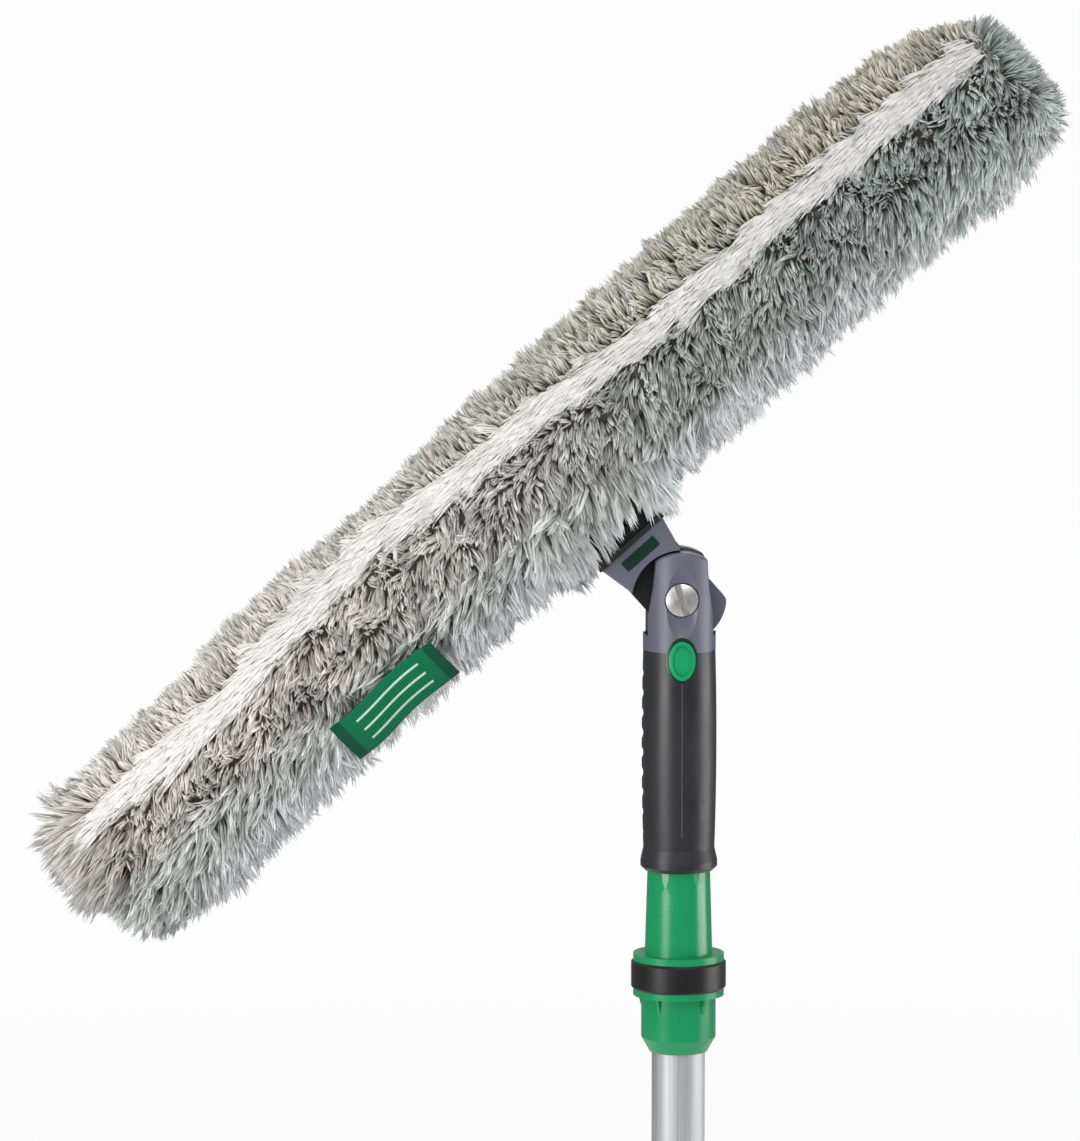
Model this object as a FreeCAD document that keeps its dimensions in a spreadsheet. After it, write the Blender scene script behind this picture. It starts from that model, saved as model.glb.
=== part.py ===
import FreeCAD, Part

import math
import operator
import os
from types import SimpleNamespace

import Sketcher
from FreeCAD import Placement, Rotation, Vector

# Window scrubber: a plush sleeve on a T-bar that swivels in the fork of a grip, locked on a pole's cone.
# The origin is the middle of the pole's foot, +Z runs up the pole, +X to the right and -Y to the viewer.
# The swivel's axis is parallel to Y. The head is modelled upright with the swivel at its own origin,
# and then set at the height of the swivel, leaning to the left.

DIMENSIONS = (
    # Pole tube and its end plug
    ("tube_diameter", 20.0),
    ("tube_wall", 1.3),
    ("tube_free_length", 140.0),
    ("tube_insertion", 20.0),
    ("tube_neck_diameter", 19.5),
    ("plug_rim_height", 3.0),
    ("plug_rim_edge", 1.0),
    ("plug_depth", 20.0),
    ("plug_wall", 2.0),
    ("plug_lead", 0.8),
    # Locking cone with its collar and flanges
    ("collar_diameter", 28.0),
    ("collar_height", 21.5),
    ("collar_taper_height", 5.5),
    ("collar_foot_diameter", 21.8),
    ("flange_diameter", 34.1),
    ("flange_thickness", 2.5),
    ("ring_height", 10.8),
    ("ring_diameter", 35.6),
    ("ring_edge", 0.8),
    ("groove_diameter", 29.0),
    ("gusset_count", 5),
    ("gusset_height", 6.0),
    ("gusset_reach", 1.6),
    ("gusset_width", 1.3),
    ("cone_base_diameter", 25.4),
    ("cone_mouth_diameter", 23.5),
    ("cone_open_height", 31.7),
    ("cone_flat_count", 6),
    ("cone_flat_depth", 1.0),
    ("cone_flat_runout", 5.6),
    ("nose_diameter", 12.4),
    ("nose_length", 28.0),
    ("nose_edge", 0.8),
    ("nose_gap", 0.3),
    ("cross_pin_diameter", 4.0),
    ("cross_pin_wall", 0.8),
    # Handle with its fork, and the soft grip on it
    ("socket_clearance", 0.1),
    ("core_diameter", 25.4),
    ("core_recess", 1.2),
    ("grip_length", 83.2),
    ("grip_top_diameter", 27.0),
    ("grip_belly_diameter", 28.0),
    ("grip_waist_diameter", 26.7),
    ("bead_diameter", 28.8),
    ("bead_height", 8.5),
    ("bead_edge", 1.6),
    ("bead_flat", 2.2),
    ("ridge_count", 9),
    ("ridge_start", 9.0),
    ("ridge_end", 14.2),
    ("ridge_depth", 0.6),
    ("ridge_radius", 4.0),
    ("ridge_arc", 150.0),
    ("ridge_bearing", 150.0),
    ("fork_diameter", 27.2),
    ("fork_root_height", 19.8),
    ("fork_floor_web", 1.6),
    ("ear_radius", 17.8),
    ("ear_shoulder_width", 19.6),
    ("ear_pivot_width", 22.3),
    ("ear_flare_width", 29.6),
    ("ear_flare_drop", 16.0),
    ("ear_shoulder_round", 2.0),
    ("ear_edge", 1.2),
    ("scoop_seat", 10.6),
    ("scoop_seat_gap", 0.5),
    ("scoop_width", 15.0),
    ("scoop_depth", 2.6),
    ("scoop_lift", 0.8),
    ("scoop_rise", 12.0),
    ("scoop_drop", 15.5),
    # Swivel screw and what it clamps
    ("screw_head_diameter", 12.1),
    ("screw_head_height", 2.8),
    ("screw_head_rim", 1.7),
    ("screw_slot_width", 2.6),
    ("screw_slot_depth", 1.5),
    ("screw_slot_lean", 17.5),
    ("screw_shank_diameter", 7.0),
    ("screw_thread_diameter", 6.0),
    ("screw_tail", 0.6),
    ("screw_hole_fit", 0.05),
    ("nut_across_flats", 10.0),
    ("nut_height", 4.0),
    ("nut_pocket_fit", 0.15),
    ("spring_washer_thickness", 0.8),
    ("spring_washer_diameter", 9.4),
    ("friction_washer_thickness", 0.8),
    ("friction_washer_diameter", 20.0),
    ("washer_clearance", 0.05),
    ("bush_diameter", 10.0),
    ("bush_running_clearance", 0.05),
    # Release button and the pin that it pushes
    ("button_drop", 22.6),
    ("button_width", 10.1),
    ("button_height", 14.7),
    ("button_proud", 0.6),
    ("button_gap", 0.2),
    ("button_travel", 2.0),
    ("button_flange_thickness", 0.7),
    ("button_flange_clearance", 0.1),
    ("button_dish_margin", 1.5),
    ("button_dish_depth", 0.9),
    ("bezel_width", 11.9),
    ("bezel_height", 17.3),
    ("bezel_proud", 0.15),
    ("bezel_depth", 2.4),
    ("window_floor_gap", 0.2),
    ("lock_pin_diameter", 4.4),
    ("lock_pin_length", 7.0),
    ("lock_pin_drop", 2.6),
    ("lock_pin_fit", 0.1),
    ("lock_pin_edge", 0.4),
    ("lock_spring_length", 5.2),
    ("lock_spring_wire", 0.5),
    ("lock_spring_turns", 5),
    ("lock_spring_gap", 0.15),
    # Swivelling head
    ("head_tilt", 41.5),
    ("tongue_thickness", 10.0),
    ("tongue_width", 25.2),
    ("tongue_radius", 17.2),
    ("tongue_end_gap", 1.6),
    ("tongue_corner", 3.0),
    ("head_arc_radius", 18.6),
    ("boss_thickness", 24.0),
    ("boss_foot_width", 24.2),
    ("boss_top_width", 30.0),
    ("boss_height", 28.0),
    ("boss_edge", 1.5),
    ("badge_width", 15.6),
    ("badge_height", 4.2),
    ("badge_thickness", 0.9),
    ("badge_recess", 0.6),
    ("badge_corner", 0.8),
    ("badge_drop", 4.6),
    ("tenon_width", 16.0),
    ("tenon_thickness", 10.0),
    ("tenon_height", 14.0),
    ("tenon_fit", 0.05),
    # T-bar in the sleeve
    ("neck_gap", 4.0),
    ("bar_length", 430.0),
    ("bar_height", 38.0),
    ("bar_thickness", 14.0),
    ("rim_thickness", 2.0),
    ("rim_overhang", 0.7),
    ("stem_width", 26.0),
    ("stem_thickness", 20.0),
    ("stem_overlap", 8.0),
    ("drain_count", 7),
    ("drain_length", 18.0),
    ("drain_height", 20.0),
    ("drain_start", 36.0),
    ("drain_end", 23.0),
    ("neck_screw_diameter", 3.0),
    ("neck_screw_length", 11.0),
    ("neck_screw_head_diameter", 6.4),
    ("neck_screw_head_height", 2.0),
    ("neck_screw_spacing", 9.0),
    ("neck_screw_rise", 9.0),
    ("cap_thickness", 5.0),
    ("cap_edge", 2.5),
    ("cap_spigot_height", 26.0),
    ("cap_spigot_thickness", 8.0),
    ("cap_spigot_length", 10.0),
    ("cap_fit", 0.1),
    # Plush sleeve
    ("sleeve_gap", 0.4),
    ("backing_thickness", 1.2),
    ("pile_gap", 0.2),
    ("pile_end", 12.0),
    ("pile_height", 71.0),
    ("pile_thickness", 57.0),
    ("pile_droop", 8.0),
    ("neck_opening_gap", 0.4),
    ("label_length", 49.0),
    ("label_height", 17.5),
    ("label_thickness", 0.8),
    ("label_shift", 103.6),
    ("label_drop", 24.3),
    ("tape_thickness", 1.1),
    ("tape_length", 32.0),
    ("tape_width", 12.0),
    # Clearance of pieces that sit tight in each other, and the length that every cut runs past the solid
    ("snug_fit", 0.05),
    ("overrun", 2.0),
)

# Where the sleeve's sections stand along its half length, and how full each one is
STATION_SHARES = (-1.0, -0.975, -0.91, -0.78, -0.4, 0.0, 0.4, 0.78, 0.91, 0.975, 1.0)
FULLNESS_SHARES = (0.56, 0.80, 0.95, 1.0, 1.0, 1.0, 1.0, 1.0, 0.95, 0.80, 0.56)
# Share of the screw's dome that is reached halfway out from its middle
DOME_MIDDLE_SHARE = 0.75

doc = FreeCAD.newDocument("window_scrubber")
sheet = doc.addObject("Spreadsheet::Sheet", "sizes")


class Size:
    """A number that also carries the sheet expression it follows, so that sums of sizes stay bound."""

    def __init__(self, value, text):
        self.value = value
        self.text = text

    def __add__(self, other):
        return joined(self, "+", other)

    def __sub__(self, other):
        return joined(self, "-", other)

    def __mul__(self, other):
        return joined(self, "*", other)

    def __truediv__(self, other):
        return joined(self, "/", other)

    def __neg__(self):
        return Size(-self.value, f"(-{self.text})")

    __rmul__ = __mul__


OPERATIONS = {"+": operator.add, "-": operator.sub, "*": operator.mul, "/": operator.truediv}


def as_size(number):
    """A plain number as a Size, for unit shapes, shares and zero."""
    if isinstance(number, Size):
        return number
    return Size(float(number), f"({float(number)!r})")


def joined(left, sign, right):
    """The sum, difference, product or quotient of two sizes, as a number and as an expression."""
    left = as_size(left)
    right = as_size(right)
    value = OPERATIONS[sign](left.value, right.value)
    return Size(value, f"({left.text} {sign} {right.text})")


def root(size):
    """The square root of a size."""
    return Size(math.sqrt(size.value), f"sqrt({size.text})")


def fill_sheet():
    """Write the driving dimensions into the sheet and hand them back as bound sizes."""
    for row, (name, number) in enumerate(DIMENSIONS, start=1):
        sheet.set(f"A{row}", name)
        sheet.set(f"B{row}", str(number))
        sheet.setAlias(f"B{row}", name)
    doc.recompute()
    return SimpleNamespace(**{name: Size(float(sheet.get(name)), f"sizes.{name}") for name, _ in DIMENSIONS})


def bind(thing, prop, size):
    """Drive one property of an object by the sheet."""
    thing.setExpression(prop, as_size(size).text)


# Sketches

def new_body(label):
    body = doc.addObject("PartDesign::Body", label)
    body.Label = label
    return body


def new_sketch(body, name, role, offset=None, turn=None):
    """An empty sketch on one of the body's own planes, moved along its normal and turned in itself."""
    sketch = body.newObject("Sketcher::SketchObject", f"{body.Label}_{name}")
    plane = next(part for part in body.Origin.OriginFeatures if part.Role == role)
    sketch.AttachmentSupport = [(plane, "")]
    sketch.MapMode = "FlatFace"
    if offset is not None:
        bind(sketch, "AttachmentOffset.Base.z", offset)
    if turn is not None:
        turn_axis, angle = turn
        sketch.AttachmentOffset = Placement(Vector(), Rotation(turn_axis, angle.value))
        bind(sketch, "AttachmentOffset.Rotation.Angle", angle)
    return sketch


def hold(sketch, geometry, point, x, y):
    """Hold a sketch point at driven distances from the sketch's origin."""
    for kind, axis, size in (("DistanceX", -2, x), ("DistanceY", -1, y)):
        size = as_size(size)
        if size.value == 0:
            sketch.addConstraint(Sketcher.Constraint("PointOnObject", geometry, point, axis))
            continue
        row = sketch.addConstraint(Sketcher.Constraint(kind, -1, 1, geometry, point, size.value))
        bind(sketch, f"Constraints[{row}]", size)


def flat(point):
    return Vector(as_size(point[0]).value, as_size(point[1]).value, 0)


def arc_edge(start, via, end):
    """The arc from start through via to end, and which of its ends is the start."""
    circle = Part.Arc(start, via, end).toShape().Curve
    centre = circle.Center
    turn = (via - start).cross(end - via).z
    first, last = (start, end) if turn > 0 else (end, start)
    angles = [math.atan2(spot.y - centre.y, spot.x - centre.x) for spot in (first, last)]
    edge = Part.ArcOfCircle(Part.Circle(centre, Vector(0, 0, 1), circle.Radius), *angles)
    return edge, (1, 2) if turn > 0 else (2, 1)


def add_loop(sketch, corners, arcs=None):
    """A closed loop through corners. arcs maps a corner's number to the point its arc to the next passes."""
    arcs = arcs or {}
    first = sketch.GeometryCount
    ends = []
    for number, corner in enumerate(corners):
        start = flat(corner)
        end = flat(corners[(number + 1) % len(corners)])
        if number in arcs:
            edge, order = arc_edge(start, flat(arcs[number]), end)
        else:
            edge, order = Part.LineSegment(start, end), (1, 2)
        sketch.addGeometry(edge, False)
        ends.append(order)
    for number, corner in enumerate(corners):
        after = (number + 1) % len(corners)
        sketch.addConstraint(
            Sketcher.Constraint("Coincident", first + number, ends[number][1], first + after, ends[after][0]))
        hold(sketch, first + number, ends[number][0], *corner)
    for number, via in arcs.items():
        spot = sketch.addGeometry(Part.Point(flat(via)), True)
        hold(sketch, spot, 1, *via)
        sketch.addConstraint(Sketcher.Constraint("PointOnObject", spot, 1, first + number))


def add_circle(sketch, x, y, radius):
    circle = sketch.addGeometry(Part.Circle(flat((x, y)), Vector(0, 0, 1), radius.value), False)
    hold(sketch, circle, 3, x, y)
    row = sketch.addConstraint(Sketcher.Constraint("Radius", circle, radius.value))
    bind(sketch, f"Constraints[{row}]", radius)


def rectangle(left, right, bottom, top):
    return [(left, bottom), (right, bottom), (right, top), (left, top)]


def add_stadium(sketch, half_width, bottom, top):
    """An upright slot with round ends, whose outermost points lie at bottom and top."""
    low = bottom + half_width
    high = top - half_width
    corners = [(half_width, low), (half_width, high), (-half_width, high), (-half_width, low)]
    add_loop(sketch, corners, {1: (0, top), 3: (0, bottom)})


def add_hexagon(sketch, across_flats):
    """A regular hexagon about the sketch's origin, with two of its flats upright."""
    radius = across_flats / math.sqrt(3)
    turns = [math.radians(30 + 60 * corner) for corner in range(6)]
    add_loop(sketch, [(radius * round(math.cos(turn), 9), radius * round(math.sin(turn), 9))
                      for turn in turns])


# Features

def pad(sketch, length, both=False, back=False):
    """Grow a sketch along its normal, evenly to both sides, or back against the normal."""
    body = sketch.getParentGeoFeatureGroup()
    feature = body.newObject("PartDesign::Pad", f"{sketch.Name}_pad")
    feature.Profile = sketch
    feature.Midplane = both
    feature.Reversed = back
    bind(feature, "Length", length)
    return feature


def pocket(sketch, length=None, both=False, along=False):
    """Cut a sketch into the body: against its normal, along it or both ways; through it without a length."""
    body = sketch.getParentGeoFeatureGroup()
    feature = body.newObject("PartDesign::Pocket", f"{sketch.Name}_pocket")
    feature.Profile = sketch
    feature.Midplane = both
    feature.Reversed = along
    if length is None:
        feature.Type = "ThroughAll"
    else:
        bind(feature, "Length", length)
    return feature


def revolve(sketch, axis="V_Axis"):
    body = sketch.getParentGeoFeatureGroup()
    feature = body.newObject("PartDesign::Revolution", f"{sketch.Name}_turned")
    feature.Profile = sketch
    feature.ReferenceAxis = (sketch, [axis])
    return feature


def pattern(kind, name, feature, **settings):
    """Repeat a feature of a body and make the repeat the body's last step."""
    body = feature.getParentGeoFeatureGroup()
    repeat = body.newObject(f"PartDesign::{kind}", f"{body.Label}_{name}")
    repeat.Originals = [feature]
    for prop, value in settings.items():
        if isinstance(value, Size):
            bind(repeat, prop, value)
        else:
            setattr(repeat, prop, value)
    body.Tip = repeat
    return repeat


def dress(kind, body, radius, wanted):
    """Round (Fillet) or bevel (Chamfer) the edges of a body that answer to wanted."""
    doc.recompute()
    base = body.Tip
    names = [f"Edge{number}" for number, edge in enumerate(base.Shape.Edges, start=1) if wanted(edge)]
    feature = body.newObject(f"PartDesign::{kind}", f"{body.Label}_{kind.lower()}")
    feature.Base = (base, names)
    bind(feature, "Radius" if kind == "Fillet" else "Size", radius)
    return feature


def turned(label, profile, arcs=None):
    """A body turned about the Z axis from (radius, height) corners."""
    body = new_body(label)
    sketch = new_sketch(body, "profile", "XZ_Plane")
    add_loop(sketch, profile, arcs)
    revolve(sketch)
    return body


def oval_block(name, width, height, middle, near, far):
    """A block of elliptical section with its axis along Y, from near to far in front of the pole's axis."""
    ellipse = doc.addObject("Part::Ellipse", f"{name}_oval")
    ellipse.Placement = Placement(Vector(), Rotation(Vector(1, 1, 1), -120))
    bind(ellipse, "MajorRadius", height / 2)
    bind(ellipse, "MinorRadius", width / 2)
    bind(ellipse, "Placement.Base.y", -near)
    bind(ellipse, "Placement.Base.z", middle)
    block = doc.addObject("Part::Extrusion", f"{name}_block")
    block.Base = ellipse
    block.DirMode = "Custom"
    block.Dir = Vector(0, -1, 0)
    block.Solid = True
    bind(block, "LengthFwd", far - near)
    return block


def upright_cylinder(name, radius, bottom, height):
    cylinder = doc.addObject("Part::Cylinder", name)
    bind(cylinder, "Radius", radius)
    bind(cylinder, "Height", height)
    bind(cylinder, "Placement.Base.z", bottom)
    return cylinder


def boolean(kind, label, base, tool):
    result = doc.addObject(f"Part::{kind}", label)
    result.Label = label
    result.Base = base
    result.Tool = tool
    return result


def box_block(name, low, high):
    """A block between two corners."""
    block = doc.addObject("Part::Box", name)
    for axis, prop, least, most in zip("xyz", ("Length", "Width", "Height"), low, high):
        bind(block, prop, as_size(most) - least)
        bind(block, f"Placement.Base.{axis}", least)
    return block


s = fill_sheet()

# Heights up the pole, from its foot
groove_bottom = s.tube_free_length + s.collar_height + s.flange_thickness
groove_top = groove_bottom + s.ring_height
groove_middle = groove_bottom + s.ring_height / 2
flange_bottom = groove_bottom - s.flange_thickness
flange_top = groove_top + s.flange_thickness
tube_top = flange_top + s.tube_insertion
mouth = flange_top + s.cone_open_height
seam = mouth + s.grip_length
pivot = seam + s.fork_root_height
slot_floor = pivot - s.tongue_radius - s.tongue_end_gap
socket_top = slot_floor - s.fork_floor_web
nose_top = socket_top - s.nose_gap
nose_bottom = nose_top - s.nose_length
ear_top = pivot + s.ear_radius
button_middle = pivot - s.button_drop
lock_pin_height = button_middle - s.lock_pin_drop

# Radii about the pole's axis
tube_radius = s.tube_diameter / 2
tube_bore = tube_radius - s.tube_wall
fork_radius = s.fork_diameter / 2
nose_radius = s.nose_diameter / 2


def cone_radius(height):
    """The cone's radius at a height: straight from its base through its width at the grip's mouth."""
    rise = (height - flange_top) / s.cone_open_height
    return s.cone_base_diameter / 2 + (s.cone_mouth_diameter - s.cone_base_diameter) / 2 * rise


# Depths in front of the axis: bezel, button flange, floor of the button's window, lock pin
bezel_back = fork_radius - s.bezel_depth
button_flange_front = bezel_back - s.button_flange_clearance
button_flange_back = button_flange_front - s.button_flange_thickness
window_floor = button_flange_back - s.button_travel - s.window_floor_gap
lock_pin_front = nose_radius + s.button_travel
lock_pin_back = lock_pin_front - s.lock_pin_length
spring_seat = lock_pin_back - s.lock_spring_length
lock_pin_bore = s.lock_pin_diameter / 2 + s.lock_pin_fit

# Widths of the swivel, from its middle plane
slot_half = s.tongue_thickness / 2 + s.friction_washer_thickness + s.washer_clearance * 2
spring_washer_seat = s.scoop_seat - s.nut_height / 2
nut_seat = spring_washer_seat + s.spring_washer_thickness
screw_end = nut_seat + s.nut_height + s.screw_tail
shank_radius = s.screw_shank_diameter / 2

# Heights up the head, from the swivel
rim_top = s.boss_height + s.rim_thickness
axis_height = rim_top + s.neck_gap + s.pile_height / 2
bar_bottom = axis_height - s.bar_height / 2
bar_top = axis_height + s.bar_height / 2
stem_top = bar_bottom + s.stem_overlap
bar_end = s.bar_length / 2
drain_pitch = (bar_end - s.drain_start - s.drain_end) / (s.drain_count - 1)
sleeve_inner_end = bar_end + s.cap_thickness + s.sleeve_gap
backing_end = sleeve_inner_end + s.backing_thickness
pile_half_length = backing_end + s.pile_end
backing_half_height = s.bar_height / 2 + s.sleeve_gap + s.backing_thickness
backing_half_thickness = s.bar_thickness / 2 + s.sleeve_gap + s.backing_thickness


def make_pole_tube():
    """Aluminium tube, necked where it goes up into the cone and cross-drilled for the pin."""
    neck = s.tube_neck_diameter / 2
    body = turned("pole_tube", [
        (tube_bore, s.plug_rim_height),
        (tube_radius, s.plug_rim_height),
        (tube_radius, s.tube_free_length),
        (neck, s.tube_free_length),
        (neck, tube_top),
        (tube_bore, tube_top),
    ])
    hole = new_sketch(body, "pin_hole", "XZ_Plane")
    add_circle(hole, 0, groove_middle, s.cross_pin_diameter / 2 + s.snug_fit)
    pocket(hole, both=True)
    return body


def make_tube_end_plug():
    """Moulded plug, its rim flush with the tube and its hollow shank pressed inside."""
    shank = tube_bore - s.snug_fit
    return turned("tube_end_plug", [
        (0, 0),
        (tube_radius - s.plug_rim_edge, 0),
        (tube_radius, s.plug_rim_edge),
        (tube_radius, s.plug_rim_height),
        (shank, s.plug_rim_height),
        (shank, s.plug_depth - s.plug_lead),
        (shank - s.plug_lead, s.plug_depth),
        (shank - s.plug_wall, s.plug_depth),
        (shank - s.plug_wall, s.plug_rim_height),
        (0, s.plug_rim_height),
    ])


def make_locking_cone():
    """One moulding: collar, two flanges with a groove between, the cone and the nose locked in the grip."""
    collar_radius = s.collar_diameter / 2
    flange_radius = s.flange_diameter / 2
    groove_radius = s.groove_diameter / 2
    bore = s.tube_neck_diameter / 2 + s.snug_fit
    body = turned("locking_cone", [
        (bore, s.tube_free_length),
        (s.collar_foot_diameter / 2, s.tube_free_length),
        (collar_radius, s.tube_free_length + s.collar_taper_height),
        (collar_radius, flange_bottom),
        (flange_radius, flange_bottom),
        (flange_radius, groove_bottom),
        (groove_radius, groove_bottom),
        (groove_radius, groove_top),
        (flange_radius, groove_top),
        (flange_radius, flange_top),
        (s.cone_base_diameter / 2, flange_top),
        (cone_radius(nose_bottom), nose_bottom),
        (nose_radius, nose_bottom),
        (nose_radius, nose_top - s.nose_edge),
        (nose_radius - s.nose_edge, nose_top),
        (0, nose_top),
        (0, tube_top),
        (bore, tube_top),
    ])
    gusset = new_sketch(body, "gusset", "YZ_Plane")
    root_radius = collar_radius - s.gusset_width
    add_loop(gusset, [
        (root_radius, flange_bottom - s.gusset_height),
        (collar_radius, flange_bottom - s.gusset_height),
        (collar_radius + s.gusset_reach, flange_bottom),
        (root_radius, flange_bottom),
    ])
    rib = pad(gusset, s.gusset_width, both=True)
    upright = next(part for part in body.Origin.OriginFeatures if part.Role == "Z_Axis")
    pattern("PolarPattern", "gussets", rib, Axis=(upright, [""]), Angle=360.0, Occurrences=s.gusset_count)
    runout = mouth - s.cone_flat_runout
    facet = new_sketch(body, "facet", "XZ_Plane")
    add_loop(facet, [
        (cone_radius(runout), runout),
        (cone_radius(runout) + s.overrun, runout),
        (cone_radius(nose_bottom) + s.overrun, nose_bottom),
        (cone_radius(nose_bottom) - s.cone_flat_depth, nose_bottom),
    ])
    cut = pocket(facet, both=True)
    pattern("PolarPattern", "facets", cut, Axis=(upright, [""]), Angle=360.0, Occurrences=s.cone_flat_count)
    pin_hole = new_sketch(body, "pin_hole", "XZ_Plane")
    add_circle(pin_hole, 0, groove_middle, s.cross_pin_diameter / 2 + s.snug_fit)
    pocket(pin_hole, both=True)
    pin_bore = new_sketch(body, "lock_pin_bore", "XZ_Plane", offset=spring_seat)
    add_circle(pin_bore, 0, lock_pin_height, lock_pin_bore)
    pocket(pin_bore, nose_radius - spring_seat + s.overrun, along=True)
    return body


def make_bumper_ring():
    """Rubber ring stretched into the groove between the flanges."""
    inner = s.groove_diameter / 2 + s.snug_fit
    outer = s.ring_diameter / 2
    return turned("bumper_ring", [
        (inner, groove_bottom),
        (outer - s.ring_edge, groove_bottom),
        (outer, groove_bottom + s.ring_edge),
        (outer, groove_top - s.ring_edge),
        (outer - s.ring_edge, groove_top),
        (inner, groove_top),
    ])


def make_cross_pin():
    """Hollow spring pin through the collar and the tube, kept in by the rubber ring."""
    body = new_body("cross_pin")
    section = new_sketch(body, "section", "XZ_Plane")
    add_circle(section, 0, groove_middle, s.cross_pin_diameter / 2)
    add_circle(section, 0, groove_middle, s.cross_pin_diameter / 2 - s.cross_pin_wall)
    span = root(s.groove_diameter * s.groove_diameter - s.cross_pin_diameter * s.cross_pin_diameter)
    pad(section, span - s.snug_fit * 2, both=True)
    return body


def ear_surround():
    """What is cut away round the two ears, seen from the front, and the top of their round."""
    side = s.ear_flare_width / 2 + s.overrun
    top = ear_top + s.overrun
    half = s.ear_pivot_width / 2
    flare = pivot - s.ear_flare_drop
    shoulder = s.ear_shoulder_width / 2
    shoulder_height = pivot + root(s.ear_radius * s.ear_radius - shoulder * shoulder)
    corners = [
        (s.ear_flare_width / 2, flare),
        (side, flare),
        (side, top),
        (-side, top),
        (-side, flare),
        (-s.ear_flare_width / 2, flare),
        (-shoulder, shoulder_height),
        (shoulder, shoulder_height),
    ]
    return corners, {5: (-half, pivot), 6: (0, ear_top), 7: (half, pivot)}


def is_ear_edge(edge):
    """Whether an edge runs round an ear's outer face: on the fork's cylinder, outside the slot, not level."""
    middle = edge.valueAt((edge.FirstParameter + edge.LastParameter) / 2)
    return (edge.Curve.TypeId != "Part::GeomLine"
            and edge.BoundBox.ZMin > seam.value + s.socket_clearance.value
            and edge.BoundBox.ZLength > s.snug_fit.value
            and abs(middle.y) > slot_half.value
            and all(abs(math.hypot(spot.X, spot.Y) - fork_radius.value) < s.snug_fit.value
                    for spot in edge.Vertexes))


def make_handle_core():
    """Hard moulding: a socket for the cone below, and above it two ears that hold the head's tongue."""
    core_radius = s.core_diameter / 2
    core_bottom = mouth + s.core_recess
    shoulder = nose_bottom + s.nose_gap
    body = turned("handle_moulding", [
        (cone_radius(core_bottom) + s.socket_clearance, core_bottom),
        (core_radius, core_bottom),
        (core_radius, seam),
        (fork_radius, seam),
        (fork_radius, ear_top),
        (0, ear_top),
        (0, socket_top),
        (nose_radius + s.socket_clearance, socket_top),
        (nose_radius + s.socket_clearance, shoulder),
        (cone_radius(shoulder) + s.socket_clearance, shoulder),
    ])
    ears = new_sketch(body, "ears", "XZ_Plane")
    add_loop(ears, *ear_surround())
    pocket(ears, both=True)
    dress("Fillet", body, s.ear_shoulder_round, lambda edge: edge.Curve.TypeId == "Part::GeomLine"
          and edge.BoundBox.ZMin > pivot.value and edge.BoundBox.ZLength < s.snug_fit.value)
    slot = new_sketch(body, "slot", "XZ_Plane")
    sweep = pivot - slot_floor
    add_loop(slot, [
        (-sweep, pivot),
        (sweep, pivot),
        (sweep, ear_top + s.overrun),
        (-sweep, ear_top + s.overrun),
    ], {0: (0, slot_floor)})
    pocket(slot, slot_half * 2, both=True)
    dress("Fillet", body, s.ear_edge, is_ear_edge)
    for name, side in (("front", 1), ("rear", -1)):
        scoop = body.newObject("PartDesign::SubtractiveEllipsoid", f"{name}_scoop")
        bind(scoop, "Radius1", (s.scoop_rise + s.scoop_drop) / 2)
        bind(scoop, "Radius2", s.scoop_width / 2)
        bind(scoop, "Radius3", s.scoop_depth + s.scoop_lift)
        bind(scoop, "Placement.Base.y", (fork_radius + s.scoop_lift) * -side)
        bind(scoop, "Placement.Base.z", pivot + (s.scoop_rise - s.scoop_drop) / 2)
        seat = new_sketch(body, f"{name}_seat", "XZ_Plane", offset=s.scoop_seat * side)
        add_circle(seat, 0, pivot, s.screw_head_diameter / 2 + s.scoop_seat_gap)
        pocket(seat, along=side > 0)
    screw_hole = new_sketch(body, "screw_hole", "XZ_Plane")
    add_circle(screw_hole, 0, pivot, shank_radius + s.screw_hole_fit)
    pocket(screw_hole, both=True)
    pin_hole = new_sketch(body, "pin_hole", "XZ_Plane")
    add_circle(pin_hole, 0, lock_pin_height, lock_pin_bore)
    pocket(pin_hole, along=True)
    nut_block = new_body("nut_space")
    nut_section = new_sketch(nut_block, "section", "XZ_Plane", offset=-fork_radius)
    add_hexagon(nut_section, s.nut_across_flats + s.nut_pocket_fit * 2)
    pad(nut_section, fork_radius - spring_washer_seat)
    bind(nut_block, "Placement.Base.z", pivot)
    without_nut = boolean("Cut", "handle_with_nut_pocket", body, nut_block)
    window = oval_block("core_window", s.bezel_width, s.bezel_height, button_middle,
                        window_floor, fork_radius + s.overrun)
    return boolean("Cut", "handle_core", without_nut, window)


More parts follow.
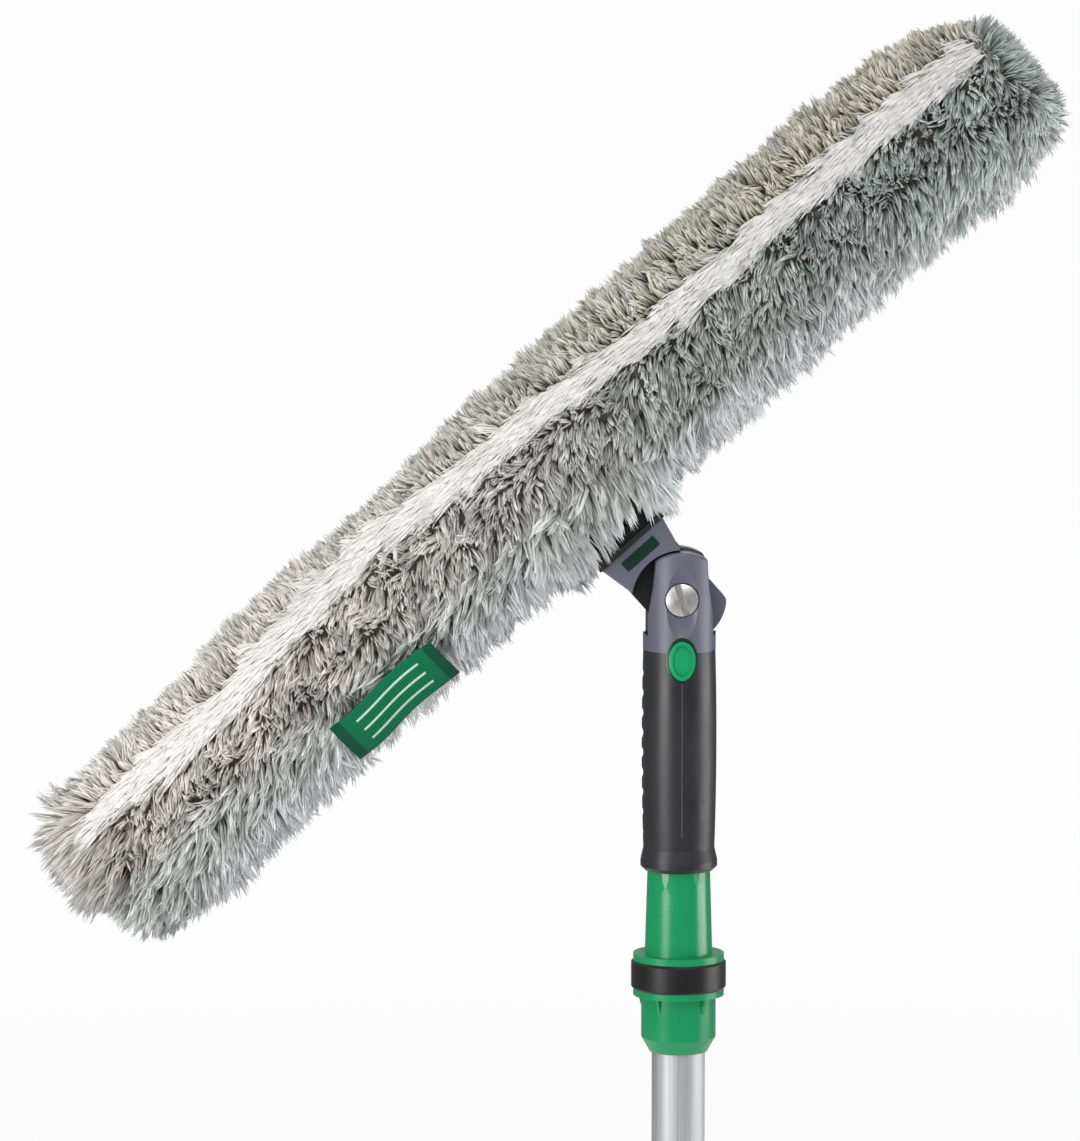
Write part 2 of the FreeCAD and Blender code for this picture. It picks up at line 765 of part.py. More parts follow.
def make_grip_sleeve():
    """Soft grip moulded round the handle: bellied, ridged behind and beaded at its mouth."""
    core_radius = s.core_diameter / 2
    core_bottom = mouth + s.core_recess
    lip = cone_radius(core_bottom) + s.socket_clearance
    bead_radius = s.bead_diameter / 2
    belly = mouth + s.bead_height + (s.grip_length - s.bead_height) / 2
    body = turned("grip_moulding", [
        (lip, mouth),
        (bead_radius - s.bead_edge, mouth),
        (bead_radius, mouth + s.bead_edge),
        (bead_radius, mouth + s.bead_edge + s.bead_flat),
        (s.grip_waist_diameter / 2, mouth + s.bead_height),
        (s.grip_top_diameter / 2, seam),
        (core_radius, seam),
        (core_radius, core_bottom),
        (lip, core_bottom),
    ], {4: (s.grip_belly_diameter / 2, belly)})
    valley = new_sketch(body, "valley", "XZ_Plane", turn=(Vector(0, -1, 0), s.ridge_bearing - 90))
    reach = s.grip_belly_diameter / 2 - s.ridge_depth + s.ridge_radius
    add_circle(valley, -reach, seam - s.ridge_start, s.ridge_radius)
    groove = body.newObject("PartDesign::Groove", "grip_valley")
    groove.Profile = valley
    groove.ReferenceAxis = (valley, ["V_Axis"])
    groove.Midplane = True
    bind(groove, "Angle", s.ridge_arc)
    upright = next(part for part in body.Origin.OriginFeatures if part.Role == "Z_Axis")
    pattern("LinearPattern", "valleys", groove, Direction=(upright, [""]), Reversed=True,
            Length=s.grip_length - s.ridge_start - s.ridge_end, Occurrences=s.ridge_count)
    window = oval_block("grip_window", s.bezel_width, s.bezel_height, button_middle,
                        window_floor, fork_radius + s.overrun)
    return boolean("Cut", "grip_sleeve", body, window)


def make_button_bezel():
    """Oval ring pressed into the window, curved like the handle, that keeps the button in."""
    ring = boolean("Cut", "bezel_ring",
                   oval_block("bezel_outer", s.bezel_width, s.bezel_height, button_middle,
                              bezel_back, fork_radius + s.overrun),
                   oval_block("bezel_inner", s.button_width + s.button_gap * 2,
                              s.button_height + s.button_gap * 2, button_middle,
                              bezel_back - s.overrun, fork_radius + s.overrun * 2))
    skin = upright_cylinder("bezel_skin", fork_radius + s.bezel_proud,
                            button_middle - s.bezel_height, s.bezel_height * 2)
    return boolean("Common", "button_bezel", ring, skin)


def make_release_button():
    """Oval push button, dished on its face, with a flange under the bezel and a stem to the lock pin."""
    front = fork_radius + s.button_proud
    face = boolean("Common", "button_face",
                   oval_block("button_head", s.button_width, s.button_height, button_middle,
                              button_flange_front - s.button_flange_thickness / 2, front + s.overrun),
                   upright_cylinder("button_skin", front, button_middle - s.button_height,
                                    s.button_height * 2))
    dish = oval_block("button_dish", s.button_width - s.button_dish_margin * 2,
                      s.button_height - s.button_dish_margin * 2, button_middle,
                      front - s.button_dish_depth, front + s.overrun)
    dished = boolean("Cut", "button_dished", face, dish)
    edge = s.bezel_width - s.button_width - s.button_gap * 2
    flange = oval_block("button_flange", s.button_width + edge, s.button_height + edge, button_middle,
                        button_flange_back, button_flange_front)
    stem = doc.addObject("Part::Cylinder", "button_stem")
    stem.Placement = Placement(Vector(), Rotation(Vector(1, 0, 0), 90))
    bind(stem, "Radius", s.lock_pin_diameter / 2)
    bind(stem, "Height", button_flange_front - lock_pin_front)
    bind(stem, "Placement.Base.y", -lock_pin_front)
    bind(stem, "Placement.Base.z", lock_pin_height)
    return boolean("Fuse", "release_button", boolean("Fuse", "button_plate", dished, flange), stem)


def make_lock_pin():
    """Steel pin that the spring pushes out of the cone's nose into the handle, up to the button's stem."""
    body = new_body("lock_pin")
    radius = s.lock_pin_diameter / 2
    profile = new_sketch(body, "profile", "YZ_Plane")
    add_loop(profile, [
        (-lock_pin_front, 0),
        (-lock_pin_front, radius - s.lock_pin_edge),
        (-lock_pin_front + s.lock_pin_edge, radius),
        (-lock_pin_back - s.lock_pin_edge, radius),
        (-lock_pin_back, radius - s.lock_pin_edge),
        (-lock_pin_back, 0),
    ])
    revolve(profile, "H_Axis")
    bind(body, "Placement.Base.z", lock_pin_height)
    return body


def make_lock_spring():
    """Wire coil between the floor of the nose's bore and the lock pin, wound of quarter-turn arcs."""
    wire = s.lock_spring_wire.value / 2
    radius = s.lock_pin_diameter.value / 2 - wire - s.lock_spring_gap.value
    start = spring_seat.value + wire + s.lock_spring_gap.value
    length = lock_pin_back.value - wire - s.lock_spring_gap.value - start
    quarters = 4 * int(s.lock_spring_turns.value)

    def spot(quarter):
        turn = math.pi / 2 * quarter
        depth = start + length * quarter / quarters
        return Vector(radius * math.cos(turn), -depth, lock_pin_height.value + radius * math.sin(turn))

    arcs = [Part.Arc(spot(k), spot(k + 0.5), spot(k + 1)).toShape() for k in range(quarters)]
    section = Part.Wire(Part.makeCircle(wire, spot(0), spot(0.02) - spot(0)))
    coil = doc.addObject("Part::Feature", "lock_spring")
    coil.Label = "lock_spring"
    coil.Shape = Part.Wire(arcs).makePipeShell([section], True, False)
    return coil


def at_pivot(body):
    """Set a piece of the swivel, modelled about its own axis, at the height of the swivel."""
    bind(body, "Placement.Base.z", pivot)
    return body


def make_pivot_screw():
    """Shoulder screw with a domed, slotted head, tightened from the front into the nut behind."""
    body = new_body("pivot_screw")
    front = s.scoop_seat + s.screw_head_height
    head_radius = s.screw_head_diameter / 2
    dome_height = s.screw_head_height - s.screw_head_rim
    dome_middle = s.scoop_seat + s.screw_head_rim + dome_height * DOME_MIDDLE_SHARE
    thread_radius = s.screw_thread_diameter / 2
    profile = new_sketch(body, "profile", "YZ_Plane")
    add_loop(profile, [
        (-front, 0),
        (-s.scoop_seat - s.screw_head_rim, head_radius),
        (-s.scoop_seat, head_radius),
        (-s.scoop_seat, shank_radius),
        (spring_washer_seat, shank_radius),
        (spring_washer_seat, thread_radius),
        (screw_end, thread_radius),
        (screw_end, 0),
    ], {0: (-dome_middle, head_radius / 2)})
    revolve(profile, "H_Axis")
    slot = new_sketch(body, "slot", "XZ_Plane", turn=(Vector(0, 0, 1), s.screw_slot_lean))
    half = s.screw_slot_width / 2
    add_loop(slot, rectangle(-half, half, -s.screw_head_diameter, s.screw_head_diameter))
    bind(slot, "AttachmentOffset.Base.z", front - s.screw_slot_depth)
    pocket(slot, along=True)
    return at_pivot(body)


def disc(label, radius, hole, near, thickness):
    """A flat ring about the swivel's axis, from near to near plus thickness behind the middle plane."""
    body = new_body(label)
    section = new_sketch(body, "section", "XZ_Plane", offset=-near)
    add_circle(section, 0, 0, radius)
    add_circle(section, 0, 0, hole)
    pad(section, thickness, back=True)
    return body


def make_friction_washers():
    """Two thin plastic discs between the tongue and the ears, whose drag holds the head at any angle."""
    face = s.tongue_thickness / 2 + s.washer_clearance
    hole = shank_radius + s.screw_hole_fit
    radius = s.friction_washer_diameter / 2
    rear = disc("rear_friction_washer", radius, hole, face, s.friction_washer_thickness)
    front = disc("front_friction_washer", radius, hole, -face - s.friction_washer_thickness,
                 s.friction_washer_thickness)
    return at_pivot(front), at_pivot(rear)


def make_spring_washer():
    """Spring washer under the nut."""
    return at_pivot(disc("spring_washer", s.spring_washer_diameter / 2,
                         s.screw_thread_diameter / 2 + s.screw_hole_fit,
                         spring_washer_seat, s.spring_washer_thickness))


def make_lock_nut():
    """Hexagon nut, sunk in the rear ear so that it can't turn."""
    body = new_body("lock_nut")
    section = new_sketch(body, "section", "XZ_Plane", offset=-nut_seat)
    add_hexagon(section, s.nut_across_flats)
    add_circle(section, 0, 0, s.screw_thread_diameter / 2 + s.screw_hole_fit)
    pad(section, s.nut_height, back=True)
    return at_pivot(body)


def on_head(piece):
    """Set a piece of the head, modelled upright about the swivel, at the swivel and leaning to the left."""
    piece.Placement = Placement(Vector(), Rotation(Vector(0, -1, 0), s.head_tilt.value))
    bind(piece, "Placement.Base.z", pivot)
    bind(piece, "Placement.Rotation.Angle", s.head_tilt)
    return piece


def make_swivel_head():
    """Hard moulding: a thin round-ended tongue between the ears, and a thick boss that clears them."""
    body = new_body("swivel_head")
    half = s.tongue_width / 2
    corner = root(s.tongue_radius * s.tongue_radius - half * half)
    arc_foot = root(s.head_arc_radius * s.head_arc_radius - s.boss_foot_width * s.boss_foot_width / 4)
    tongue = new_sketch(body, "tongue", "XZ_Plane")
    add_loop(tongue, [
        (-half, -corner),
        (half, -corner),
        (half, s.head_arc_radius + s.boss_edge),
        (-half, s.head_arc_radius + s.boss_edge),
    ], {0: (0, -s.tongue_radius)})
    pad(tongue, s.tongue_thickness, both=True)
    dress("Fillet", body, s.tongue_corner, lambda edge: edge.BoundBox.ZMax < 0 and edge.BoundBox.YLength > 0
          and edge.Curve.TypeId == "Part::GeomLine")
    boss = new_sketch(body, "boss", "XZ_Plane")
    add_loop(boss, [
        (-s.boss_foot_width / 2, arc_foot),
        (s.boss_foot_width / 2, arc_foot),
        (s.boss_top_width / 2, s.boss_height),
        (-s.boss_top_width / 2, s.boss_height),
    ], {0: (0, s.head_arc_radius)})
    pad(boss, s.boss_thickness, both=True)
    slanted = s.boss_thickness.value / 2
    dress("Fillet", body, s.boss_edge, lambda edge: (
        edge.Curve.TypeId == "Part::GeomLine"
        and all(abs(abs(vertex.Y) - slanted) < s.snug_fit.value for vertex in edge.Vertexes)
        and abs(edge.tangentAt(edge.FirstParameter).z) > 0.5))
    tenon = new_sketch(body, "tenon", "XZ_Plane")
    add_loop(tenon, rectangle(-s.tenon_width / 2, s.tenon_width / 2,
                              s.boss_height - s.boss_edge, s.boss_height + s.tenon_height))
    pad(tenon, s.tenon_thickness, both=True)
    bush_hole = new_sketch(body, "bush_hole", "XZ_Plane")
    add_circle(bush_hole, 0, 0, s.bush_diameter / 2)
    pocket(bush_hole, both=True)
    badge = new_sketch(body, "badge_recess", "XZ_Plane", offset=s.boss_thickness / 2 - s.badge_recess)
    add_loop(badge, rectangle(-s.badge_width / 2, s.badge_width / 2, *badge_span()))
    pocket(badge, along=True)
    for side in (-1, 1):
        hole = new_sketch(body, f"screw_hole_{side + 1}", "XZ_Plane", offset=neck_screw_tip())
        add_circle(hole, s.neck_screw_spacing / 2 * side, neck_screw_height(),
                   s.neck_screw_diameter / 2 + s.snug_fit)
        pocket(hole, along=True)
    return on_head(body)


def badge_span():
    """Lower and upper edge of the badge on the boss."""
    middle = s.boss_height - s.badge_drop
    return middle - s.badge_height / 2, middle + s.badge_height / 2


def neck_screw_height():
    return s.boss_height + s.neck_screw_rise


def neck_screw_tip():
    """How far in front of the middle plane the neck screws end."""
    return s.stem_thickness / 2 - s.neck_screw_length


def make_pivot_bush():
    """Plain bush pressed into the tongue, which turns on the screw's shoulder."""
    return on_head(disc("pivot_bush", s.bush_diameter / 2, shank_radius + s.bush_running_clearance,
                        -s.tongue_thickness / 2, s.tongue_thickness))


def make_badge_plate():
    """Bare coloured inlay in the front of the boss."""
    body = new_body("badge_plate")
    low, high = badge_span()
    outline = new_sketch(body, "outline", "XZ_Plane", offset=s.boss_thickness / 2 - s.badge_recess)
    add_loop(outline, rectangle(-s.badge_width / 2, s.badge_width / 2, low, high))
    pad(outline, s.badge_thickness)
    dress("Fillet", body, s.badge_corner, lambda edge: abs(edge.tangentAt(edge.FirstParameter).y) > 0.5)
    return on_head(body)


def drain_corners(side):
    """The innermost drain slot on one side of the stem: a rectangle with bevelled corners."""
    bevel = s.drain_length / 4
    half_length = s.drain_length / 2
    half_height = s.drain_height / 2
    steps = [
        (half_length, bevel - half_height),
        (half_length, half_height - bevel),
        (half_length - bevel, half_height),
        (bevel - half_length, half_height),
        (-half_length, half_height - bevel),
        (-half_length, bevel - half_height),
        (bevel - half_length, -half_height),
        (half_length - bevel, -half_height),
    ]
    return [((s.drain_start + along) * side, axis_height + up) for along, up in steps]


def make_crossbar():
    """Moulded T-bar: a slotted bar of round-edged section on a stem, with the rim that sits on the boss."""
    body = new_body("crossbar")
    section = new_sketch(body, "section", "YZ_Plane")
    add_stadium(section, s.bar_thickness / 2, bar_bottom, bar_top)
    pad(section, s.bar_length, both=True)
    along = next(part for part in body.Origin.OriginFeatures if part.Role == "X_Axis")
    for name, side in (("left_drain", -1), ("right_drain", 1)):
        drain = new_sketch(body, name, "XZ_Plane")
        add_loop(drain, drain_corners(side))
        cut = pocket(drain, both=True)
        pattern("LinearPattern", f"{name}s", cut, Direction=(along, [""]), Reversed=side < 0,
                Length=drain_pitch * (s.drain_count - 1), Occurrences=s.drain_count)
    stem = new_sketch(body, "stem", "XZ_Plane")
    add_loop(stem, rectangle(-s.stem_width / 2, s.stem_width / 2, s.boss_height, stem_top))
    pad(stem, s.stem_thickness, both=True)
    rim = new_sketch(body, "rim", "XZ_Plane")
    rim_half = s.boss_top_width / 2 + s.rim_overhang
    add_loop(rim, rectangle(-rim_half, rim_half, s.boss_height, rim_top))
    pad(rim, s.boss_thickness + s.rim_overhang * 2, both=True)
    mortise = new_sketch(body, "mortise", "XZ_Plane")
    mortise_half = s.tenon_width / 2 + s.tenon_fit
    add_loop(mortise, rectangle(-mortise_half, mortise_half, s.boss_height - s.overrun,
                                s.boss_height + s.tenon_height + s.tenon_fit))
    pocket(mortise, s.tenon_thickness + s.tenon_fit * 2, both=True)
    for side in (-1, 1):
        for name, radius, depth in (
                ("screw_hole", s.neck_screw_diameter / 2 + s.snug_fit, s.tenon_thickness / 2),
                ("screw_seat", s.neck_screw_head_diameter / 2 + s.cap_fit,
                 s.stem_thickness / 2 - s.neck_screw_head_height)):
            hole = new_sketch(body, f"{name}_{side + 1}", "XZ_Plane", offset=depth)
            add_circle(hole, s.neck_screw_spacing / 2 * side, neck_screw_height(), radius)
            pocket(hole, along=True)
    for name, end, forward in (("left", -bar_end, False), ("right", bar_end, True)):
        inner = end + s.cap_spigot_length * (-1 if forward else 1)
        socket = new_sketch(body, f"{name}_socket", "YZ_Plane", offset=inner)
        half_thickness = s.cap_spigot_thickness / 2 + s.cap_fit
        half_height = s.cap_spigot_height / 2 + s.cap_fit
        add_loop(socket, rectangle(-half_thickness, half_thickness,
                                   axis_height - half_height, axis_height + half_height))
        pocket(socket, s.cap_spigot_length + s.overrun, along=forward)
    return on_head(body)


def make_bar_caps():
    """Rounded caps whose spigots plug the bar's ends, so that they don't chafe the sleeve."""
    caps = []
    for label, side in (("left_bar_cap", -1), ("right_bar_cap", 1)):
        body = new_body(label)
        plate = new_sketch(body, "plate", "YZ_Plane", offset=bar_end * side)
        add_stadium(plate, s.bar_thickness / 2, bar_bottom, bar_top)
        pad(plate, s.cap_thickness, back=side < 0)
        outer = (bar_end.value + s.cap_thickness.value) * side
        dress("Fillet", body, s.cap_edge, lambda edge, outer=outer: all(
            abs(vertex.X - outer) < s.snug_fit.value for vertex in edge.Vertexes))
        spigot = new_sketch(body, "spigot", "YZ_Plane", offset=bar_end * side)
        half_thickness = s.cap_spigot_thickness / 2
        half_height = s.cap_spigot_height / 2
        add_loop(spigot, rectangle(-half_thickness, half_thickness,
                                   axis_height - half_height, axis_height + half_height))
        pad(spigot, s.cap_spigot_length - s.cap_fit, back=side > 0)
        caps.append(on_head(body))
    return caps


def make_neck_screws():
    """Two screws through the stem's front wall into the head's tenon."""
    screws = []
    front = s.stem_thickness / 2
    seat = front - s.neck_screw_head_height
    shank = s.neck_screw_diameter / 2
    head = s.neck_screw_head_diameter / 2
    for side in (-1, 1):
        body = new_body(f"neck_screw_{side + 1}")
        profile = new_sketch(body, "profile", "YZ_Plane")
        add_loop(profile, [
            (-front, 0),
            (-front, head),
            (-seat, head),
            (-seat, shank),
            (-neck_screw_tip(), shank),
            (-neck_screw_tip(), 0),
        ])
        revolve(profile, "H_Axis")
        bind(body, "Placement.Base.x", s.neck_screw_spacing / 2 * side)
        bind(body, "Placement.Base.z", neck_screw_height())
        screws.append(body)
    pair = doc.addObject("Part::Compound", "neck_screws")
    pair.Label = "neck_screws"
    pair.Links = screws
    return on_head(pair)


def make_sleeve_backing():
    """Woven lining of the sleeve: a flat tube, closed at its ends and open below where the stem goes in."""
    body = new_body("sleeve_backing")
    skin = s.backing_thickness
    outer = new_sketch(body, "outer", "YZ_Plane")
    add_stadium(outer, backing_half_thickness, axis_height - backing_half_height,
                axis_height + backing_half_height)
    pad(outer, backing_end * 2, both=True)
    inner = new_sketch(body, "inner", "YZ_Plane")
    add_stadium(inner, backing_half_thickness - skin, axis_height - backing_half_height + skin,
                axis_height + backing_half_height - skin)
    pocket(inner, sleeve_inner_end * 2, both=True)
    neck = new_sketch(body, "neck", "XZ_Plane")
    half = s.stem_width / 2 + s.neck_opening_gap
    add_loop(neck, rectangle(-half, half, axis_height - backing_half_height - s.overrun,
                             stem_top + s.neck_opening_gap))
    pocket(neck, both=True)
    return on_head(body)


def pile_form(name, extra):
    """The sleeve's outer form, grown all round by extra: ovals that droop and close to the bar's ends."""
    ovals = []
    for number, (station_share, fullness_share) in enumerate(zip(STATION_SHARES, FULLNESS_SHARES)):
        oval = doc.addObject("Part::Ellipse", f"{name}_oval_{number}")
        oval.Placement = Placement(Vector(), Rotation(Vector(0, 1, 0), -90))
        bind(oval, "MajorRadius", s.pile_height / 2 * fullness_share + extra)
        bind(oval, "MinorRadius", s.pile_thickness / 2 * fullness_share + extra)
        bind(oval, "Placement.Base.x", pile_half_length * station_share)
        bind(oval, "Placement.Base.z", axis_height - s.pile_droop * (station_share * station_share))
        ovals.append(oval)
    form = doc.addObject("Part::Loft", name)
    form.Sections = ovals
    form.Solid = True
    return form


def make_sleeve_pile():
    """Plush pile round the lining, with room for the stem and for the closing tapes at its right end."""
    room = new_body("lining_room")
    lining = new_sketch(room, "lining", "YZ_Plane")
    half_thickness = backing_half_thickness + s.pile_gap
    half_height = backing_half_height + s.pile_gap
    add_stadium(lining, half_thickness, axis_height - half_height, axis_height + half_height)
    pad(lining, (backing_end + s.pile_gap) * 2, both=True)
    neck = new_sketch(room, "neck", "XZ_Plane")
    half = s.stem_width / 2 + s.neck_opening_gap
    add_loop(neck, rectangle(-half, half, axis_height - s.pile_height, stem_top + s.neck_opening_gap))
    pad(neck, s.stem_thickness + s.neck_opening_gap * 2, both=True)
    tape(room, "tapes", 0, 2, s.pile_gap)
    return on_head(boolean("Cut", "sleeve_pile", pile_form("pile_outer", as_size(0)), room))


def tape(body, name, first, last, gap):
    """Grow closing tapes, counted outwards from the lining's right end, with a gap round their edges."""
    half_width = s.tape_width / 2 + gap
    half_length = s.tape_length / 2 + gap
    outline = new_sketch(body, name, "YZ_Plane", offset=backing_end + s.tape_thickness * first)
    add_loop(outline, rectangle(-half_width, half_width,
                                axis_height - half_length, axis_height + half_length))
    pad(outline, s.tape_thickness * (last - first) + gap)


def make_closing_tapes():
    """Hook tape sewn on the lining's end and loop tape on the flap over it."""
    tapes = []
    for number, label in enumerate(("hook_tape", "loop_tape")):
        body = new_body(label)
        tape(body, "outline", number, number + 1, as_size(0))
        tapes.append(on_head(body))
    return tapes


def make_sleeve_label():
    """Woven label sewn on the pile, low on its front towards the left end."""
    skin = boolean("Cut", "label_skin", pile_form("label_outer", s.snug_fit + s.label_thickness),
                   pile_form("label_inner", s.snug_fit))
    middle = axis_height - s.label_drop
    patch = box_block("label_patch",
                      (-s.label_shift - s.label_length / 2, -s.pile_thickness, middle - s.label_height / 2),
                      (-s.label_shift + s.label_length / 2, as_size(0), middle + s.label_height / 2))
    return on_head(boolean("Common", "sleeve_label", skin, patch))


def make_all():
    front_washer, rear_washer = make_friction_washers()
    return [
        make_pole_tube(),
        make_tube_end_plug(),
        make_locking_cone(),
        make_bumper_ring(),
        make_cross_pin(),
        make_handle_core(),
        make_grip_sleeve(),
        make_button_bezel(),
        make_release_button(),
        make_lock_pin(),
        make_lock_spring(),
        make_pivot_screw(),
        front_washer,
        rear_washer,
        make_spring_washer(),
        make_lock_nut(),
        make_swivel_head(),
        make_pivot_bush(),
        make_badge_plate(),
        make_crossbar(),
        *make_bar_caps(),
        make_neck_screws(),
        make_sleeve_backing(),
        make_sleeve_pile(),
        *make_closing_tapes(),
        make_sleeve_label(),
    ]


def write_parts(pieces):
    """Check every object of the document, then write one file for each piece."""
    doc.recompute()
    broken = [thing.Name for thing in doc.Objects if {"Invalid", "Error"} & set(thing.State)]
    if broken:
        raise RuntimeError(f"not built: {broken}")
    for piece in pieces:
        if piece.Shape.isNull() or not piece.Shape.isValid() or not piece.Shape.Solids:
            raise RuntimeError(f"no sound solid: {piece.Label}")
    os.makedirs("parts", exist_ok=True)
    for piece in pieces:
        piece.Shape.exportStep(f"parts/{piece.Label}.step")


write_parts(make_all())
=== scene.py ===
import math

import bpy
import numpy as np
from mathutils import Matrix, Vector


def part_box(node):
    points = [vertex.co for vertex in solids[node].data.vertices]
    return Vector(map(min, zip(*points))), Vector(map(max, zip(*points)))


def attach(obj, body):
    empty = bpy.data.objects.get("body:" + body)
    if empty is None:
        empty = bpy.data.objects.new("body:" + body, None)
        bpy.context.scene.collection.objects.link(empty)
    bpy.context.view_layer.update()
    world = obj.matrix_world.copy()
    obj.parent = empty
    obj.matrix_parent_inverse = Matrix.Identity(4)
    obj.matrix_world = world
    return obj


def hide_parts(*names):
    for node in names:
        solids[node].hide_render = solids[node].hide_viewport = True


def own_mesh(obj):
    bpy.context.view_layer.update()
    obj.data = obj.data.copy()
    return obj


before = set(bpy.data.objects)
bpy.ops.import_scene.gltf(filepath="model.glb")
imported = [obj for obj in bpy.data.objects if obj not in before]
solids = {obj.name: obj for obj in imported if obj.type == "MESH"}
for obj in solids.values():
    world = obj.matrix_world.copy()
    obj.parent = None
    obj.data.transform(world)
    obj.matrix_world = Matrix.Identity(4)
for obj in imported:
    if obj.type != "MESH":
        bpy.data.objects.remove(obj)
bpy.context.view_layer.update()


# ----------------------------------------------------------------------------------------------
# Pole tube
# A drawn aluminium tube with a clear anodised skin. It is cut square, necked at its upper end
# and held in the cone by a cross pin.

def linear(code):
    """An sRGB hex colour as linear red, green, blue and alpha, each by the standard curve."""
    channels = [int(code[place:place + 2], 16) / 255 for place in (1, 3, 5)]
    return [c / 12.92 if c <= 0.04045 else ((c + 0.055) / 1.055) ** 2.4 for c in channels] + [1.0]


def feed(tree, target, inputs):
    """Fill inputs of a node: a socket is linked, anything else is set as a constant."""
    for name, value in inputs.items():
        if isinstance(value, bpy.types.NodeSocket):
            tree.links.new(value, target.inputs[name])
        else:
            target.inputs[name].default_value = value
    return target


def add(tree, kind, inputs, stops=(), **settings):
    """Add one node with its settings, its colour stops and what goes into it."""
    made = tree.nodes.new("ShaderNode" + kind)
    for name, value in settings.items():
        setattr(made, name, value)
    for number, (place, code) in enumerate(stops):
        ramp = made.color_ramp.elements
        stop = ramp[number] if number < 2 else ramp.new(place)
        stop.position = place
        stop.color = linear(code)
    return feed(tree, made, inputs)


def new_finish(name):
    """A new material: itself, its node tree and its surface shader."""
    made = bpy.data.materials.new(name)
    made.use_nodes = True
    return made, made.node_tree, made.node_tree.nodes["Principled BSDF"]


def dress(finish, *names):
    """Give solids of the frame this material in each of their slots."""
    for name in names:
        for held in solids[name].material_slots:
            held.material = finish


# Clear anodised aluminium, drawn lengthwise: a soft metal gloss broken by fine upright lines.
# The die lines are some 0.1 mm wide, and drawn 0.7 mm wide here so that they show.
die_line = 0.0007
die_line_length = 0.09
skin_cloud = 0.03
aluminium, tree, surface = new_finish("drawn_anodised_aluminium")
place = add(tree, "TexCoord", {}).outputs["Object"]
line_scale = (1 / die_line, 1 / die_line, 1 / die_line_length)
stretched = add(tree, "Mapping", {"Vector": place, "Scale": line_scale})
lines = add(tree, "TexNoise", {"Vector": stretched.outputs["Vector"], "Scale": 1.0, "Detail": 3.0})
clouds = add(tree, "TexNoise", {"Vector": place, "Scale": 1 / skin_cloud, "Detail": 4.0})
metal = add(tree, "ValToRGB", {"Fac": lines.outputs["Fac"]}, [(0.3, "#b8babe"), (0.7, "#d1d3d6")])
haze = add(tree, "MapRange", {"Value": clouds.outputs["Fac"], "To Min": 0.52, "To Max": 0.62})
relief = add(tree, "Bump", {"Height": lines.outputs["Fac"], "Strength": 0.12, "Distance": 0.0001})
feed(tree, surface, {
    "Base Color": metal.outputs["Color"], "Metallic": 1.0,
    "Roughness": haze.outputs["Result"], "Normal": relief.outputs["Normal"],
})
dress(aluminium, "pole_tube")


# ----------------------------------------------------------------------------------------------
# End plug
# A black polyethylene plug, moulded with a rim and pressed into the foot of the tube.

def moulded(name, codes, rough, grain, depth, ior=1.5):
    """A moulded plastic: a grain of the given size in colour, gloss and relief, under slow
    clouding. codes are the darker and the lighter colour, rough the least and the most roughness,
    and depth is the height of the grain."""
    made, tree, surface = new_finish(name)
    place = add(tree, "TexCoord", {}).outputs["Object"]
    speck = add(tree, "TexNoise", {"Vector": place, "Scale": 1 / grain, "Detail": 2.0})
    cloud = add(tree, "TexNoise", {"Vector": place, "Scale": 1 / (grain * 30), "Detail": 5.0})
    mixed = add(tree, "MixRGB", {
        "Fac": 0.6, "Color1": speck.outputs["Fac"], "Color2": cloud.outputs["Fac"]})
    tone = add(tree, "ValToRGB", {"Fac": mixed.outputs["Color"]},
               [(0.35, codes[0]), (0.65, codes[1])])
    gloss = add(tree, "MapRange", {"Value": cloud.outputs["Fac"], "From Min": 0.3, "From Max": 0.7,
                                   "To Min": rough[0], "To Max": rough[1]})
    relief = add(tree, "Bump", {"Height": speck.outputs["Fac"], "Strength": 0.3, "Distance": depth})
    feed(tree, surface, {
        "Base Color": tone.outputs["Color"], "Roughness": gloss.outputs["Result"],
        "Normal": relief.outputs["Normal"], "IOR": ior,
    })
    return made, tree, surface


# Black polyethylene: matt and slightly waxy, with a fine moulded grain.
black_polyethylene, *_ = moulded(
    "moulded_black_polyethylene", ("#1b1b1d", "#242426"), (0.45, 0.6), 0.0008, 0.00004)
dress(black_polyethylene, "tube_end_plug")


# ----------------------------------------------------------------------------------------------
# Locking cone
# One glossy green moulding: collar, two flanges, six-sided cone and the nose that locks in the
# grip. It is injection moulded, so its faces are smooth, with a faint flow marking.

# Green ABS from a polished mould: clear highlights over a saturated colour.
green_abs, *_ = moulded(
    "moulded_green_abs", ("#008650", "#009258"), (0.20, 0.30), 0.0012, 0.00003, 1.53)
dress(green_abs, "locking_cone")


# ----------------------------------------------------------------------------------------------
# Bumper ring and cross pin
# A black rubber ring, stretched into the groove between the flanges, over the ends of a hollow
# steel spring pin that holds the cone on the tube.

# Black rubber: satin, with a soft highlight to each side.
black_rubber, *_ = moulded(
    "moulded_black_rubber", ("#0a0a0b", "#121214"), (0.32, 0.42), 0.0009, 0.00005)
dress(black_rubber, "bumper_ring")


swivel_height = 0.312
smear_size = 0.002


